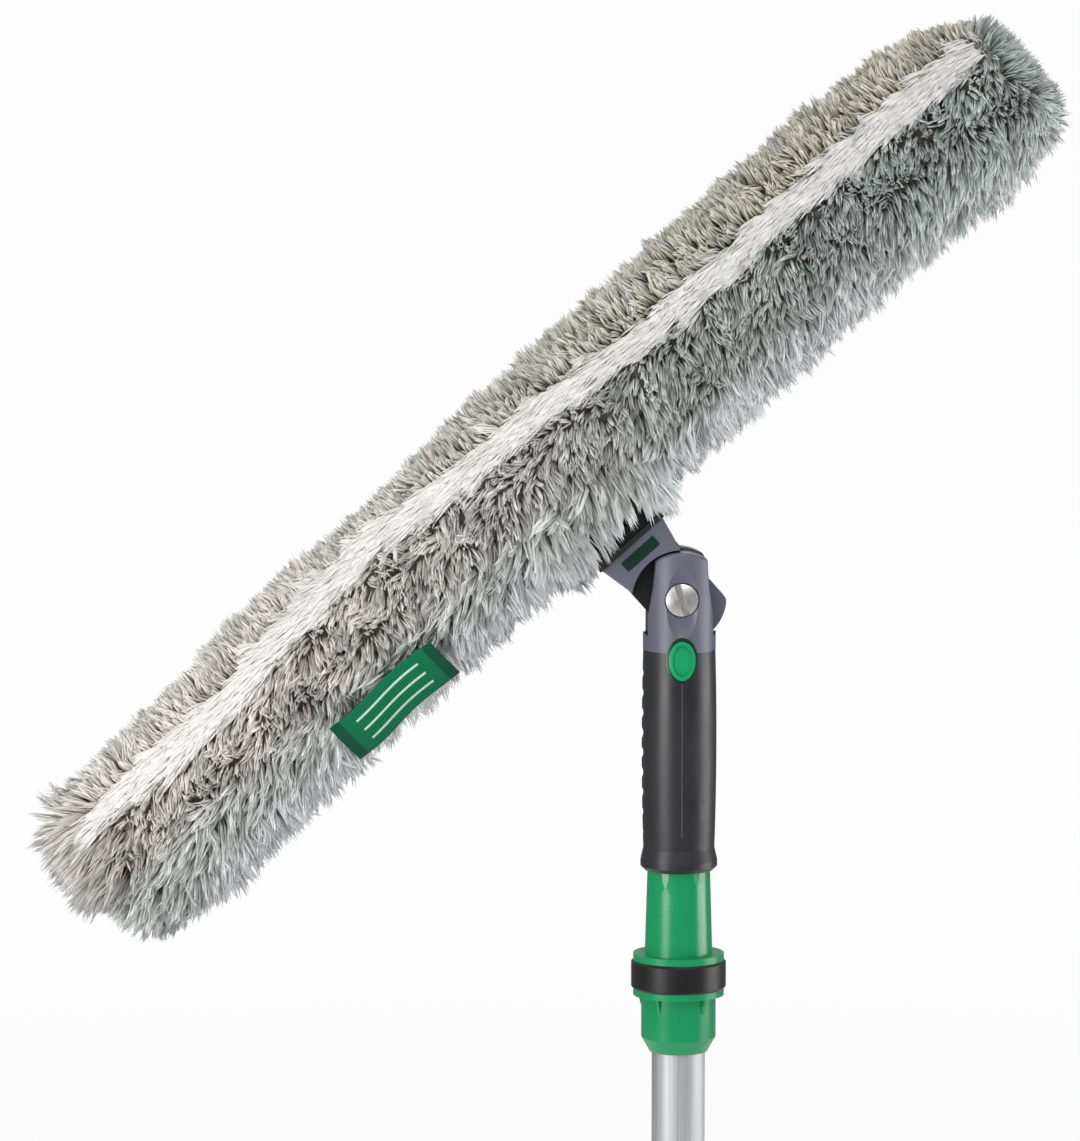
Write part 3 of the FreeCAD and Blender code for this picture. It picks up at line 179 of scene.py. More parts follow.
def turned_metal(name, codes, rough, pitch):
    """A turned metal: tool rings about the swivel's axis, as a sine of the distance from it."""
    made, tree, surface = new_finish(name)
    place = add(tree, "TexCoord", {}).outputs["Object"]
    seat = add(tree, "Mapping", {"Vector": place, "Location": (0.0, 0.0, -swivel_height)})
    flat = add(tree, "VectorMath", {0: seat.outputs["Vector"], 1: (1.0, 0.0, 1.0)},
               operation="MULTIPLY")
    reach = add(tree, "VectorMath", {0: flat.outputs["Vector"]}, operation="LENGTH")
    turns = add(tree, "Math", {0: reach.outputs["Value"], 1: 2 * math.pi / pitch},
                operation="MULTIPLY")
    rings = add(tree, "Math", {0: turns.outputs["Value"]}, operation="SINE")
    smear = add(tree, "TexNoise", {"Vector": place, "Scale": 1 / smear_size, "Detail": 4.0})
    tone = add(tree, "ValToRGB", {"Fac": smear.outputs["Fac"]}, [(0.3, codes[0]), (0.7, codes[1])])
    gloss = add(tree, "MapRange", {
        "Value": smear.outputs["Fac"], "To Min": rough[0], "To Max": rough[1]})
    relief = add(tree, "Bump", {
        "Height": rings.outputs["Value"], "Strength": 0.15, "Distance": 0.00003})
    feed(tree, surface, {
        "Base Color": tone.outputs["Color"], "Metallic": 1.0,
        "Roughness": gloss.outputs["Result"], "Normal": relief.outputs["Normal"],
    })
    return made


# Stainless steel, turned: bright, with fine tool rings, drawn 0.5 mm apart so that they show.
tool_pitch = 0.0005
steel = turned_metal("turned_stainless_steel", ("#dbd9d6", "#f1efeb"), (0.32, 0.44), tool_pitch)
dress(steel, "cross_pin")


# ----------------------------------------------------------------------------------------------
# Handle core
# The hard moulding of the grip: a socket for the cone below, and a fork of two ears above.
# It is moulded in glass-filled nylon, in a grey with a violet cast.

# Grey nylon: satin, with a fine even grain that softens its highlights.
grey_nylon_look = (("#555663", "#606170"), (0.36, 0.46), 0.0007, 0.00004, 1.53)
grey_nylon, *_ = moulded("moulded_grey_nylon", *grey_nylon_look)
dress(grey_nylon, "handle_core")


# ----------------------------------------------------------------------------------------------
# Soft grip
# A thermoplastic elastomer moulded over the core, ridged behind and beaded at its mouth. Down its
# front, along the mould's parting line, runs a fine bright line that is a painted highlight.

# Charcoal elastomer: satin and slightly grippy, with broad soft highlights.
grip_elastomer, tree, surface = moulded(
    "moulded_charcoal_elastomer", ("#212124", "#2a2a2d"), (0.36, 0.44), 0.0007, 0.00004)
parting_width = 0.0005
parting_foot = 0.223
place = add(tree, "TexCoord", {}).outputs["Object"]
split = add(tree, "SeparateXYZ", {"Vector": place})
aside = add(tree, "Math", {0: split.outputs["X"]}, operation="ABSOLUTE")
narrow = add(tree, "Math", {0: aside.outputs["Value"], 1: parting_width / 2}, operation="LESS_THAN")
before = add(tree, "Math", {0: split.outputs["Y"], 1: 0.0}, operation="LESS_THAN")
above = add(tree, "Math", {0: split.outputs["Z"], 1: parting_foot}, operation="GREATER_THAN")
ahead = add(tree, "Math", {0: narrow.outputs["Value"], 1: before.outputs["Value"]},
            operation="MULTIPLY")
# Painted highlight: a fine lighter line down the front, along the parting line.
parting_highlight = add(tree, "Math", {0: ahead.outputs["Value"], 1: above.outputs["Value"]},
           operation="MULTIPLY")
body_tone = surface.inputs["Base Color"].links[0].from_socket
lined = add(tree, "MixRGB", {
    "Fac": parting_highlight.outputs["Value"], "Color1": body_tone, "Color2": linear("#48484b")})
feed(tree, surface, {"Base Color": lined.outputs["Color"]})
dress(grip_elastomer, "grip_sleeve")


# ----------------------------------------------------------------------------------------------
# Release button, bezel, lock pin and spring
# A dished green button in a dark green oval ring. Behind it a steel pin and its spring lock the
# nose of the cone.

def grid_faces(rows, columns, closed):
    """Quads of a grid of points, numbered row by row; closed joins the last column to the first."""
    row = np.arange(rows - 1)[:, None] * columns
    column = np.arange(columns if closed else columns - 1)[None, :]
    following = (column + 1) % columns
    corners = [row + column, row + following, row + columns + following, row + columns + column]
    return np.stack([corner.ravel() for corner in corners], 1)


def new_piece(name, body, points, faces, finish):
    """A smooth mesh on a body from points and groups of faces, each group an array of corners."""
    mesh = bpy.data.meshes.new(name)
    sides = np.concatenate([np.full(len(group), group.shape[1]) for group in faces])
    corners = np.concatenate([group.ravel() for group in faces])
    mesh.vertices.add(len(points))
    mesh.vertices.foreach_set("co", np.ascontiguousarray(points, np.float32).ravel())
    mesh.loops.add(len(corners))
    mesh.loops.foreach_set("vertex_index", corners.astype(np.int32))
    mesh.polygons.add(len(sides))
    mesh.polygons.foreach_set("loop_start", (np.cumsum(sides) - sides).astype(np.int32))
    mesh.polygons.foreach_set("use_smooth", np.ones(len(sides), bool))
    mesh.update(calc_edges=True)
    mesh.materials.append(finish)
    piece = bpy.data.objects.new(name, mesh)
    bpy.context.scene.collection.objects.link(piece)
    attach(piece, body)
    return piece


# Dark green ABS: the same gloss as the cone, several shades deeper.
dark_green_abs, *_ = moulded(
    "moulded_dark_green_abs", ("#02291d", "#043626"), (0.26, 0.38), 0.0009, 0.00003, 1.53)
# Painted shade: on the bezel this deep green stands in for the shade in the gap round the button.
dress(dark_green_abs, "button_bezel")
# Bright green ABS: the cone's green a shade lighter, as painted light against the shade in the
# button's dish.
green_abs_lit_copy, *_ = moulded(
    "moulded_green_abs_lit_copy", ("#009058", "#009c60"), (0.24, 0.34), 0.0009, 0.00003, 1.53)
dress(green_abs_lit_copy, "release_button")
dress(steel, "lock_pin")

# The spring shortens as the button goes in. It is wound here as a piece of its own: the wire is a
# circle, carried round the coil and forward from the seat.
spring_wire = 0.0005
spring_turns = 5
low, high = (np.array(corner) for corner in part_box("lock_spring"))
coil_radius = (high[0] - low[0] - spring_wire) / 2
wound = np.linspace(0, 1, 24 * spring_turns + 1)[:, None]
around = np.linspace(0, 2 * math.pi, 10, endpoint=False)[None, :]
swing = 2 * math.pi * spring_turns * wound
from_axis = coil_radius + spring_wire / 2 * np.cos(around)
forward = (high[1] - low[1] - spring_wire) * wound
coil = np.stack([
    (low[0] + high[0]) / 2 + from_axis * np.cos(swing),
    high[1] - spring_wire / 2 - forward + spring_wire / 2 * np.sin(around),
    (low[2] + high[2]) / 2 + from_axis * np.sin(swing)], -1)
wire_end = np.arange(around.size)[None, :]
coil_ends = [wire_end[:, ::-1], wire_end + (wound.size - 1) * around.size]
spring = new_piece("wound_lock_spring", "handle", coil.reshape(-1, 3),
                   [grid_faces(wound.size, around.size, True), *coil_ends],
                   steel)
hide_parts("lock_spring")
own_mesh(spring)


# ----------------------------------------------------------------------------------------------
# Swivel screw, nut and washers
# A slotted shoulder screw clamps the ears on the head's tongue, with a nut in the rear ear, a
# spring washer under it and white nylon friction washers beside the tongue.

# White nylon: waxy and slightly translucent, turned from rod.
white_nylon, *_ = moulded(
    "turned_white_nylon", ("#d8d5cc", "#e6e3db"), (0.4, 0.5), 0.0008, 0.00003, 1.53)
dress(steel, "pivot_screw", "lock_nut", "spring_washer")
dress(white_nylon, "front_friction_washer", "rear_friction_washer")


# ----------------------------------------------------------------------------------------------
# Swivel head, bush and inlay
# A thick boss with a thin tongue that turns between the ears on a bronze bush. A plain dark
# green inlay is pressed into its front.

lean = math.radians(41.5)

# Sintered bronze: dull and golden brown.
bronze = turned_metal("sintered_bronze", ("#96703c", "#ad8549"), (0.35, 0.5), tool_pitch)
# The same grey nylon, with painted shade in black on the tongue between the ears and the boss, in
# the
# recess there: nearer to the axis than the boss, and on the boss's side of it.
shaded_nylon, tree, surface = moulded("moulded_grey_nylon_painted_shade", *grey_nylon_look)
boss_arc = 0.0187
place = add(tree, "TexCoord", {}).outputs["Object"]
seat = add(tree, "Mapping", {"Vector": place, "Location": (0.0, 0.0, -swivel_height)})
flat = add(tree, "VectorMath", {0: seat.outputs["Vector"], 1: (1.0, 0.0, 1.0)},
           operation="MULTIPLY")
off_axis = add(tree, "VectorMath", {0: flat.outputs["Vector"]}, operation="LENGTH")
inside = add(tree, "Math", {0: off_axis.outputs["Value"], 1: boss_arc}, operation="LESS_THAN")
to_boss = (-math.sin(lean), 0.0, math.cos(lean))
risen = add(tree, "VectorMath", {0: seat.outputs["Vector"], 1: to_boss}, operation="DOT_PRODUCT")
bossward = add(tree, "Math", {0: risen.outputs["Value"], 1: 0.0}, operation="GREATER_THAN")
painted_shade = add(tree, "Math", {0: inside.outputs["Value"], 1: bossward.outputs["Value"]},
             operation="MULTIPLY")
body_tone = surface.inputs["Base Color"].links[0].from_socket
# Painted shade: the tongue's recess is coloured near black.
recess_darkened = add(tree, "MixRGB", {
    "Fac": painted_shade.outputs["Value"], "Color1": body_tone, "Color2": linear("#0b0c0e")})
feed(tree, surface, {"Base Color": recess_darkened.outputs["Color"]})
dress(shaded_nylon, "swivel_head")
dress(bronze, "pivot_bush")
dress(dark_green_abs, "badge_plate")


# ----------------------------------------------------------------------------------------------
# T-bar, end caps and neck screws
# A flat black bar with drain openings, moulded in polypropylene with its stem and a rim that
# sits on the boss. Two caps close its ends and two screws hold the stem.

# Black polypropylene: matt, with the coarse grain of a spark-eroded mould.
black_polypropylene, *_ = moulded(
    "moulded_black_polypropylene", ("#1d1d1f", "#272729"), (0.48, 0.62), 0.001, 0.00006)
dress(black_polypropylene, "crossbar", "left_bar_cap", "right_bar_cap")
# Black-oxide steel: a dull blue-black skin.
black_steel = turned_metal("black_oxide_steel", ("#1c1c1e", "#2b2b2e"), (0.4, 0.5), tool_pitch)
dress(black_steel, "neck_screws")


# ----------------------------------------------------------------------------------------------
# Sleeve lining
# A flat tube of woven polyester, sewn shut at its left end and drawn over the bar. It is open
# below in the middle, where the stem goes in.

bar_way = np.array([math.cos(lean), 0.0, math.sin(lean)])
neck_way = np.array([-math.sin(lean), 0.0, math.cos(lean)])
axis_height = 0.0695


def on_head(along, out, deep):
    """Points of the head in the frame: along the bar, out from the sleeve's axis away from the
    grip, and deep to the rear."""
    swivel = np.array([0.0, 0.0, swivel_height])
    rise = np.asarray(out)[..., None] + axis_height
    return swivel + np.asarray(along)[..., None] * bar_way + rise * neck_way + (
        np.asarray(deep)[..., None] * np.array([0.0, 1.0, 0.0]))


# Woven polyester lining: a plain grey cloth, matt, its threads drawn as a grain of 0.8 mm.
lining_cloth, *_ = moulded(
    "woven_polyester_lining", ("#77777a", "#8f8f92"), (0.7, 0.85), 0.0008, 0.0001)
lining_end = 0.2212
lining_half_height = 0.0202
lining_half_depth = 0.0082
lining_thickness = 0.0008
stem_half_width = 0.0134
lining_turn = np.linspace(0, 2 * math.pi, 64, endpoint=False)
lining_reach = np.linspace(-lining_end, lining_end, 121)
# Two half circles joined by straight sides: the straight length is added to the circle's height.
side = lining_half_height - lining_half_depth
lining_out = lining_half_depth * np.sin(lining_turn) + (
    side * np.sign(np.sin(lining_turn).round(9)))
lining_deep = -lining_half_depth * np.cos(lining_turn)
lining_points = on_head(*np.broadcast_arrays(
    lining_reach[:, None], lining_out[None, :], lining_deep[None, :])).reshape(-1, 3)
lining_faces = grid_faces(len(lining_reach), len(lining_turn), True)
middles = lining_points[lining_faces].mean(1) - np.array([0.0, 0.0, swivel_height])
neck_slit = (np.abs(middles @ bar_way) < stem_half_width) & (
    middles @ neck_way < axis_height - side)
rim = np.arange(len(lining_turn))[None, :]
lining_caps = [rim[:, ::-1], rim + (len(lining_reach) - 1) * len(lining_turn)]
lining = new_piece("sleeve_lining", "head", lining_points,
                   [lining_faces[~neck_slit][:, ::-1], *lining_caps], lining_cloth)
wall = lining.modifiers.new("thickness", "SOLIDIFY")
wall.thickness = lining_thickness
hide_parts("sleeve_backing")


# ----------------------------------------------------------------------------------------------
# Plush pile
# Long acrylic and polyester pile, knitted into a backing that is drawn over the lining. Wet use
# has drawn the fibres into pointed locks. One stripe runs along the front in white.

pile_half_length = 0.2235
pile_half_height = 0.0265
pile_half_depth = 0.0195
pile_shift = -0.003
pile_lift = 0.002
pile_droop = 0.008
end_power = 12.0


def sag(far):
    """How far out the sleeve's middle stands at a share of its half length: lifted at the stem, and
    falling with a power of the share, sooner to the left."""
    return pile_lift - pile_droop * np.abs(far) ** np.where(far < 0, 3.0, 5.0)


def roll(turn, run):
    """Points and outward normals of the pile's ground. Round the bar it is an oval, at angle turn
    up from the front. Along the bar it is a circle's point at angle run, pushed out to a
    superellipse, and it sags towards its ends. Returns arrays of (along, out, deep)."""
    push = (np.abs(np.sin(run)) ** end_power + np.abs(np.cos(run)) ** end_power) ** (-1 / end_power)
    far = np.sin(run) * push
    thin = np.cos(run) * push
    slope = np.stack(np.broadcast_arrays(
        np.sign(far) * np.abs(far) ** (end_power - 1) / pile_half_length,
        thin ** (end_power - 1) * np.sin(turn) / pile_half_height,
        -thin ** (end_power - 1) * np.cos(turn) / pile_half_depth), -1)
    spots = np.stack(np.broadcast_arrays(
        pile_half_length * far + pile_shift,
        pile_half_height * thin * np.sin(turn) + sag(far),
        -pile_half_depth * thin * np.cos(turn)), -1)
    return spots, slope / np.linalg.norm(slope, axis=-1, keepdims=True)


def spread_evenly(shares, values, weights):
    """Values at the given shares of the summed weights, so that equal shares weigh the same."""
    total = np.concatenate([[0.0], np.cumsum((weights[1:] + weights[:-1]) / 2)])
    return np.interp(shares, total / total[-1], values)


def ease(value, low, high):
    """Nought below low, one above high, and a smooth S between them."""
    part = np.clip((value - low) / (high - low), 0, 1)
    return part * part * (3 - 2 * part)


# The stripe wanders: heights of its middle at places along the bar.
stripe_places = [-0.217, -0.155, -0.117, -0.067, -0.017, 0.008, 0.058, 0.108, 0.158, 0.208]
stripe_heights = [0.0185, 0.0182, 0.0229, 0.0278, 0.0224, 0.0227, 0.0163, 0.0170, 0.0171, 0.0165]
stripe_half = 0.0044
stripe_taper = 0.45
stripe_left_fade = (-0.222, -0.212)
stripe_right_fade = (0.2160, 0.2195)


def stripe_height(along):
    """The height of the stripe's middle, straight between the places where it is given."""
    return np.interp(along, stripe_places, stripe_heights)


def whiteness(along, height):
    """One inside the stripe and nought outside, with a soft edge. It narrows to the left, and stops
    at the ends."""
    half = stripe_half * (1 - stripe_taper * ease(-along, 0.17, 0.22))
    within = 1 - ease(np.abs(height - stripe_height(along)), half - 0.001, half + 0.0006)
    begun = ease(along, *stripe_left_fade)
    unended = ease(-along, -stripe_right_fade[1], -stripe_right_fade[0])
    return within * begun * unended


# The knitted ground shows only between the locks, where its tone, as dark as the locks' roots, is
# painted shade; under the stripe it is white.
plain_length = 0.0108
pile_ground_cloth, tree, surface = moulded(
    "knitted_pile_ground", ("#8d8780", "#a6a098"), (0.85, 0.95), 0.0016, 0.0003)
stripe_part = add(tree, "Attribute", {}, attribute_name="white").outputs["Fac"]
body_tone = surface.inputs["Base Color"].links[0].from_socket
striped = add(tree, "MixRGB", {
    "Fac": stripe_part, "Color1": body_tone, "Color2": linear("#efede9")})
feed(tree, surface, {"Base Color": striped.outputs["Color"]})
ground_turn = np.linspace(0, 2 * math.pi, 96, endpoint=False)
ground_run = np.linspace(-math.pi / 2, math.pi / 2, 161)[1:-1]
spots, normals = roll(ground_turn[None, :], ground_run[:, None])
ground_faces = grid_faces(spots.shape[0], spots.shape[1], True)
flat_spots = spots.reshape(-1, 3)
middles = flat_spots[ground_faces].mean(1)
stem_half_depth = 0.0104
stem_room = (np.abs(middles[:, 0]) < stem_half_width) & (
    np.abs(middles[:, 2]) < stem_half_depth) & (middles[:, 1] < 0)
rim = np.arange(len(ground_turn))[None, :]
ground_caps = [rim[:, ::-1], rim + (len(ground_run) - 1) * len(ground_turn)]
pile_ground = new_piece("pile_ground", "head", on_head(*flat_spots.T),
                        [ground_faces[~stem_room][:, ::-1], *ground_caps],
                        pile_ground_cloth)
tip_height = spots[..., 1] + plain_length * normals[..., 1]
ground_white = whiteness(spots[..., 0], tip_height) * (spots[..., 2] < 0)
pile_ground.data.attributes.new("white", "FLOAT", "POINT").data.foreach_set(
    "value", ground_white.ravel().astype(np.float32))
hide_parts("sleeve_pile")

# Locks are spread evenly over the ground by two irrational steps, and each holds a few strands.
# They stand a little closer on the rounded ends.
lock_count = 13000
turn_step = 0.7548776662
run_step = 0.5698402910
end_weight = 0.12
turn_noise = 0.02
strands_in_lock = 7
strands_in_white_lock = 22
strands_in_neck_lock = 18
draw = np.random.default_rng(417)
number = np.arange(lock_count)
angles = np.linspace(-math.pi, math.pi, 721)
girth = np.hypot(pile_half_height * np.cos(angles), pile_half_depth * np.sin(angles))
lock_turn = spread_evenly((number * turn_step) % 1, angles, girth)
runs = np.linspace(-math.pi / 2, math.pi / 2, 4001)
profile, _ = roll(np.full_like(runs, math.pi / 2), runs)
steps = np.linalg.norm(np.diff(profile, axis=0, append=profile[-1:]), axis=1)
profile_height = profile[:, 1] - sag((profile[:, 0] - pile_shift) / pile_half_length)
lock_run = spread_evenly((number * run_step) % 1, runs,
                         steps * (end_weight + profile_height / pile_half_height))
lock_turn += draw.normal(0, turn_noise, lock_count)
lock_root, lock_normal = roll(lock_turn, lock_run)

# How far out each lock's tip would stand, grown straight, sets its zone.
share = (lock_root[:, 0] - pile_shift) / pile_half_length
height = lock_root[:, 1] + plain_length * lock_normal[:, 1]
in_front = np.cos(lock_turn) > 0
stray_noise = 0.0013
stray_limit = 0.002
stray = np.clip(draw.normal(0, stray_noise, lock_count), -stray_limit, stray_limit)
white = np.where(in_front, whiteness(lock_root[:, 0], height + stray), 0)
over_stripe = height - stripe_height(lock_root[:, 0])
upper = np.where(in_front, ease(over_stripe, 0.004, 0.008), ease(height, 0.0, 0.02))

# Below a crease the locks lie along the bar, and hang in the fringe under it. The crease runs lower
# to the right of the stem, and the fringe is weaker there and at the left end.
crease_height = 0.008
crease_drop = 0.013
crease = crease_height + crease_drop * ease(lock_root[:, 0], -0.02, 0.05)
lower = ease(-height, crease - 0.002, crease + 0.005)
fringe = ease(sag(share) - height, 0.019, 0.031)
fringe *= 1 - 0.7 * ease(-share, 0.8, 0.95)
fringe *= 1 - 0.4 * ease(share, 0.3, 0.7)
left_end = ease(-share, 0.90, 1.0)
right_end = ease(share, 0.90, 1.0)

# How each zone is combed: what is added to a lock's unit normal along the bar, out and deep.
lie = np.array([-1.00, -0.25, 0.0])
hang = np.array([-0.50, -0.75, 0.0])
upper_lean = np.array([-0.05, 0.25, 0.0])
front_lean = np.array([-0.32, -0.25, 0.0])
left_end_lean = np.array([-0.45, -0.15, 0.0])
white_lean = np.array([-0.8, 0.05, 0.0])
neck_lean = np.array([0.25, -0.55, 0.0])
comb = (lower * (1 - fringe))[:, None] * lie + (lower * fringe)[:, None] * hang
comb += upper[:, None] * upper_lean
comb += ((1 - upper) * (1 - lower))[:, None] * front_lean
comb += left_end[:, None] * left_end_lean
comb += white[:, None] * white_lean
# Beside the stem long locks hang over the rim of the bar.
at_neck = (1 - ease(np.abs(lock_root[:, 0]), 0.020, 0.032)) * ease(-height, 0.010, 0.018)
comb += at_neck[:, None] * neck_lean
# Neighbouring locks lean alike, in waves of 8 to 30 mm that cross the sleeve in all directions.
wave_count = 14
shortest_wave = 0.008
longest_wave = 0.030
wave_comb = 0.075
own_comb = 0.13
calm_in_stripe = 0.2
wave_way = draw.uniform(0, 2 * math.pi, wave_count)
wave_number = 2 * math.pi / draw.uniform(shortest_wave, longest_wave, wave_count)
wave_ground = np.stack([lock_root[:, 0], lock_turn * (pile_half_height + pile_half_depth) / 2], 1)
wave_phase = wave_ground @ (np.stack([np.cos(wave_way), np.sin(wave_way)]) * wave_number)
waves = np.sin(wave_phase + draw.uniform(0, 2 * math.pi, wave_count))
off_stripe = ease(np.abs(over_stripe), stripe_half - 0.001, stripe_half + 0.006)
unrest = np.where(in_front, calm_in_stripe + (1 - calm_in_stripe) * off_stripe, 1)
ruffle = own_comb * (1 + 1.1 * np.maximum(lower, left_end))
wave_lean = waves @ draw.normal(0, wave_comb, (wave_count, 3))
own_lean = ruffle[:, None] * draw.normal(0, 1, (lock_count, 3))
comb += unrest[:, None] * (wave_lean + own_lean)
way = lock_normal + comb * (1 - 0.6 * np.abs(lock_normal[:, :1]))
way /= np.linalg.norm(way, axis=1, keepdims=True)

# What each zone adds to a lock's length. Both ends are trimmed below.
white_growth = 0.0036
lower_growth = 0.0030
fringe_growth = 0.0006
neck_growth = 0.0055
left_end_growth = 0.0075
right_end_cut = 0.0010
right_top_cut = 0.0035
end_trim = 0.35
lock_length = plain_length + white_growth * white + lower_growth * lower
lock_length += fringe_growth * fringe
lock_length += neck_growth * at_neck
end_growth = left_end_growth * left_end * (1 - 0.6 * lower)
end_growth -= (right_end_cut + right_top_cut * upper) * right_end
lock_length += end_growth
lock_length *= 1 - end_trim * lower * ease(np.abs(share), 0.88, 0.98)
# The upper band is worn a little shorter, most in two places to the left of the stem, each a bell
# curve with a middle, a width and a depth.
worn_all_along = 0.0010
worn_places = ((-0.065, 0.030, 0.0030), (-0.165, 0.020, 0.0025))
worn = worn_all_along
for spot, width, depth in worn_places:
    worn = worn + depth * np.exp(-((lock_root[:, 0] - spot) / width) ** 2)
lock_length -= worn * upper
lock_length *= 1 + (1 - 0.7 * white) * draw.uniform(-0.14, 0.1, lock_count)
# Some of the same waves make the pile's outline uneven.
outline_waves = 4
outline_swell = 0.045
lock_length *= 1 + outline_swell * (1 - white) * waves[:, :outline_waves].sum(1)

# Under the label the pile is pressed flat, and at the stem it parts.
label_middle = np.array([-0.1036, -0.0243])
label_half = np.array([0.0245, 0.00875])
label_margin = 0.002
pressed_share = 0.5
stem_margin = 0.0005
tip_guess = lock_root + way * lock_length[:, None]
from_label = np.abs(tip_guess[:, :2] - label_middle)
under_label = in_front & (from_label < label_half + label_margin).all(1)
lock_length = np.where(under_label, lock_length * pressed_share, lock_length)
stem_half = np.array([stem_half_width, stem_half_depth])
at_stem = (np.abs(lock_root[:, :3:2]) < stem_half + stem_margin).all(1)
kept = ~(at_stem & (lock_root[:, 1] < 0))

# Each strand leaves the ground beside its lock's middle, square to it, and bends to the lock's tip.
# Some stay out of the lock and stand loose: few in the spiky upper band, most in the fluffy stripe.
strands = np.where(white > 0.5, strands_in_white_lock, strands_in_lock)
strands = np.where(at_neck > 0.5, strands_in_neck_lock, strands)
lock = np.repeat(number[kept], strands[kept])
count = len(lock)
lock_root_spread = 0.0013
lock_tip_spread = 0.0006
loose_spread = 0.0030
root_sink = 0.0006
bend_share = 0.55
bend_spread = 0.0006
tip_noise = 0.0003
loose_share = (0.12 - 0.07 * np.maximum(upper, lower) + 0.4 * white)[lock]
spin = draw.uniform(0, 2 * math.pi, count)
wide = np.sqrt(draw.uniform(0, 1, count))
tip_spread = np.where(draw.uniform(0, 1, count) < loose_share, loose_spread, lock_tip_spread)
normal = lock_normal[lock]
any_slant = np.array([0.3, 0.5, 0.81])
beside = np.cross(normal, any_slant)
beside /= np.linalg.norm(beside, axis=1, keepdims=True)
across = np.cross(normal, beside)
offset = beside * np.cos(spin)[:, None] + across * np.sin(spin)[:, None]
strand_root = lock_root[lock] + offset * (lock_root_spread * wide)[:, None] - normal * root_sink
uneven = 1 + (1 - 0.6 * white[lock]) * draw.uniform(-0.18, 0.06, count)
strand_length = lock_length[lock] * uneven
strand_tip = lock_root[lock] + way[lock] * strand_length[:, None] + (
    offset * (tip_spread * wide)[:, None])
strand_tip += draw.normal(0, tip_noise, (count, 3))
strand_bend = strand_root + normal * (bend_share * strand_length)[:, None] + (
    offset * (bend_spread * wide)[:, None])

# A strand is a three-sided tapering blade: three rings along a parabola and a tip.
ring_shares = np.array([0.0, 0.45, 0.85])
ring_radii = np.array([0.00034, 0.00038, 0.00026])
chord = strand_tip - strand_root
chord /= np.linalg.norm(chord, axis=1, keepdims=True)
first = np.cross(chord, offset + 0.01)
first /= np.linalg.norm(first, axis=1, keepdims=True)
second = np.cross(chord, first)
corner = np.arange(3) * (2 * math.pi / 3)
out_of_line = first[:, None, :] * np.cos(corner)[None, :, None] + (
    second[:, None, :] * np.sin(corner)[None, :, None])
t = ring_shares[None, :, None]
spine = strand_root[:, None, :] * (1 - t) ** 2 + strand_bend[:, None, :] * (2 * t * (1 - t)) + (
    strand_tip[:, None, :] * t ** 2)
rings = spine[:, :, None, :] + out_of_line[:, None, :, :] * ring_radii[None, :, None, None]
ring_points = ring_shares.size * corner.size
strand_points = np.concatenate([rings.reshape(count, ring_points, 3), strand_tip[:, None, :]], 1)
points_in_strand = ring_points + 1
strand_sides = np.array([[0, 3, 4, 1], [1, 4, 5, 2], [2, 5, 3, 0],
                         [3, 6, 7, 4], [4, 7, 8, 5], [5, 8, 6, 3]])
strand_ends = np.array([[6, 9, 7], [7, 9, 8], [8, 9, 6], [0, 1, 2]])
grown = np.append(np.repeat(ring_shares, corner.size), 1.0)

# Light soaks into a real pile and comes out again, so its strands are shaded much as the lock they
# stand in: their normals lean from their own sides towards the lock's round side and its way.
own_side = (0.35 - 0.25 * white[lock])[:, None, None, None]
lock_side = (0.5 - 0.4 * white[lock])[:, None]
lock_facing = way[lock] + white[lock][:, None] * (normal - way[lock]) + (
    lock_side * wide[:, None] * offset)
leaning = lock_facing[:, None, None, :] + (
    own_side * out_of_line[:, None, :, :] * np.ones((1, ring_shares.size, 1, 1)))
strand_facing = np.concatenate([leaning.reshape(count, ring_points, 3), lock_facing[:, None, :]], 1)
strand_facing /= np.linalg.norm(strand_facing, axis=-1, keepdims=True)

# Acrylic pile: soft and matt, darker towards its roots, as painted shade between the locks, and
# lighter towards its tips. It is warmer to the left and cooler to the right, olive above the stripe
# and palest in the fringe, where the paleness is a painted glow of the light behind it.
pile_fibre, tree, surface = new_finish("acrylic_pile_fibre")
grow = add(tree, "Attribute", {}, attribute_name="grow").outputs["Fac"]
warm_tone = add(tree, "ValToRGB", {"Fac": grow}, [
    (0.15, "#aaa098"), (0.6, "#d8d1cb"), (1.0, "#f2eeea")])
cool_tone = add(tree, "ValToRGB", {"Fac": grow}, [
    (0.15, "#8b938f"), (0.6, "#bac3bf"), (1.0, "#e8f0ed")])
olive_tone = add(tree, "ValToRGB", {"Fac": grow}, [
    (0.15, "#6a6455"), (0.6, "#beb8a4"), (1.0, "#f2eee2")])
white_tone = add(tree, "ValToRGB", {"Fac": grow}, [
    (0.1, "#d2cfca"), (0.5, "#e8e5e1"), (1.0, "#f3f1ee")])
# Painted light: the fringe's pale tone is a painted glow of the light behind it.
fringe_glow_tone = add(tree, "ValToRGB", {"Fac": grow}, [
    (0.15, "#bcc2c3"), (0.6, "#e2e7e8"), (1.0, "#f1f4f4")])
mixed = warm_tone.outputs["Color"]
for attribute, tone in (("cool", cool_tone), ("upper", olive_tone),
                        ("fringe", fringe_glow_tone), ("white", white_tone)):
    part = add(tree, "Attribute", {}, attribute_name=attribute).outputs["Fac"]
    mixed = add(tree, "MixRGB", {
        "Fac": part, "Color1": mixed, "Color2": tone.outputs["Color"]}).outputs["Color"]
shade = add(tree, "Attribute", {}, attribute_name="shade").outputs["Fac"]
light = add(tree, "MapRange", {"Value": shade, "To Min": 0.62, "To Max": 1.14})
varied = add(tree, "HueSaturation", {"Value": light.outputs["Result"], "Color": mixed})
feed(tree, surface, {
    "Base Color": varied.outputs["Color"], "Roughness": 0.75, "Specular IOR Level": 0.2,
    "Sheen Weight": 0.2, "Sheen Roughness": 0.5,
})
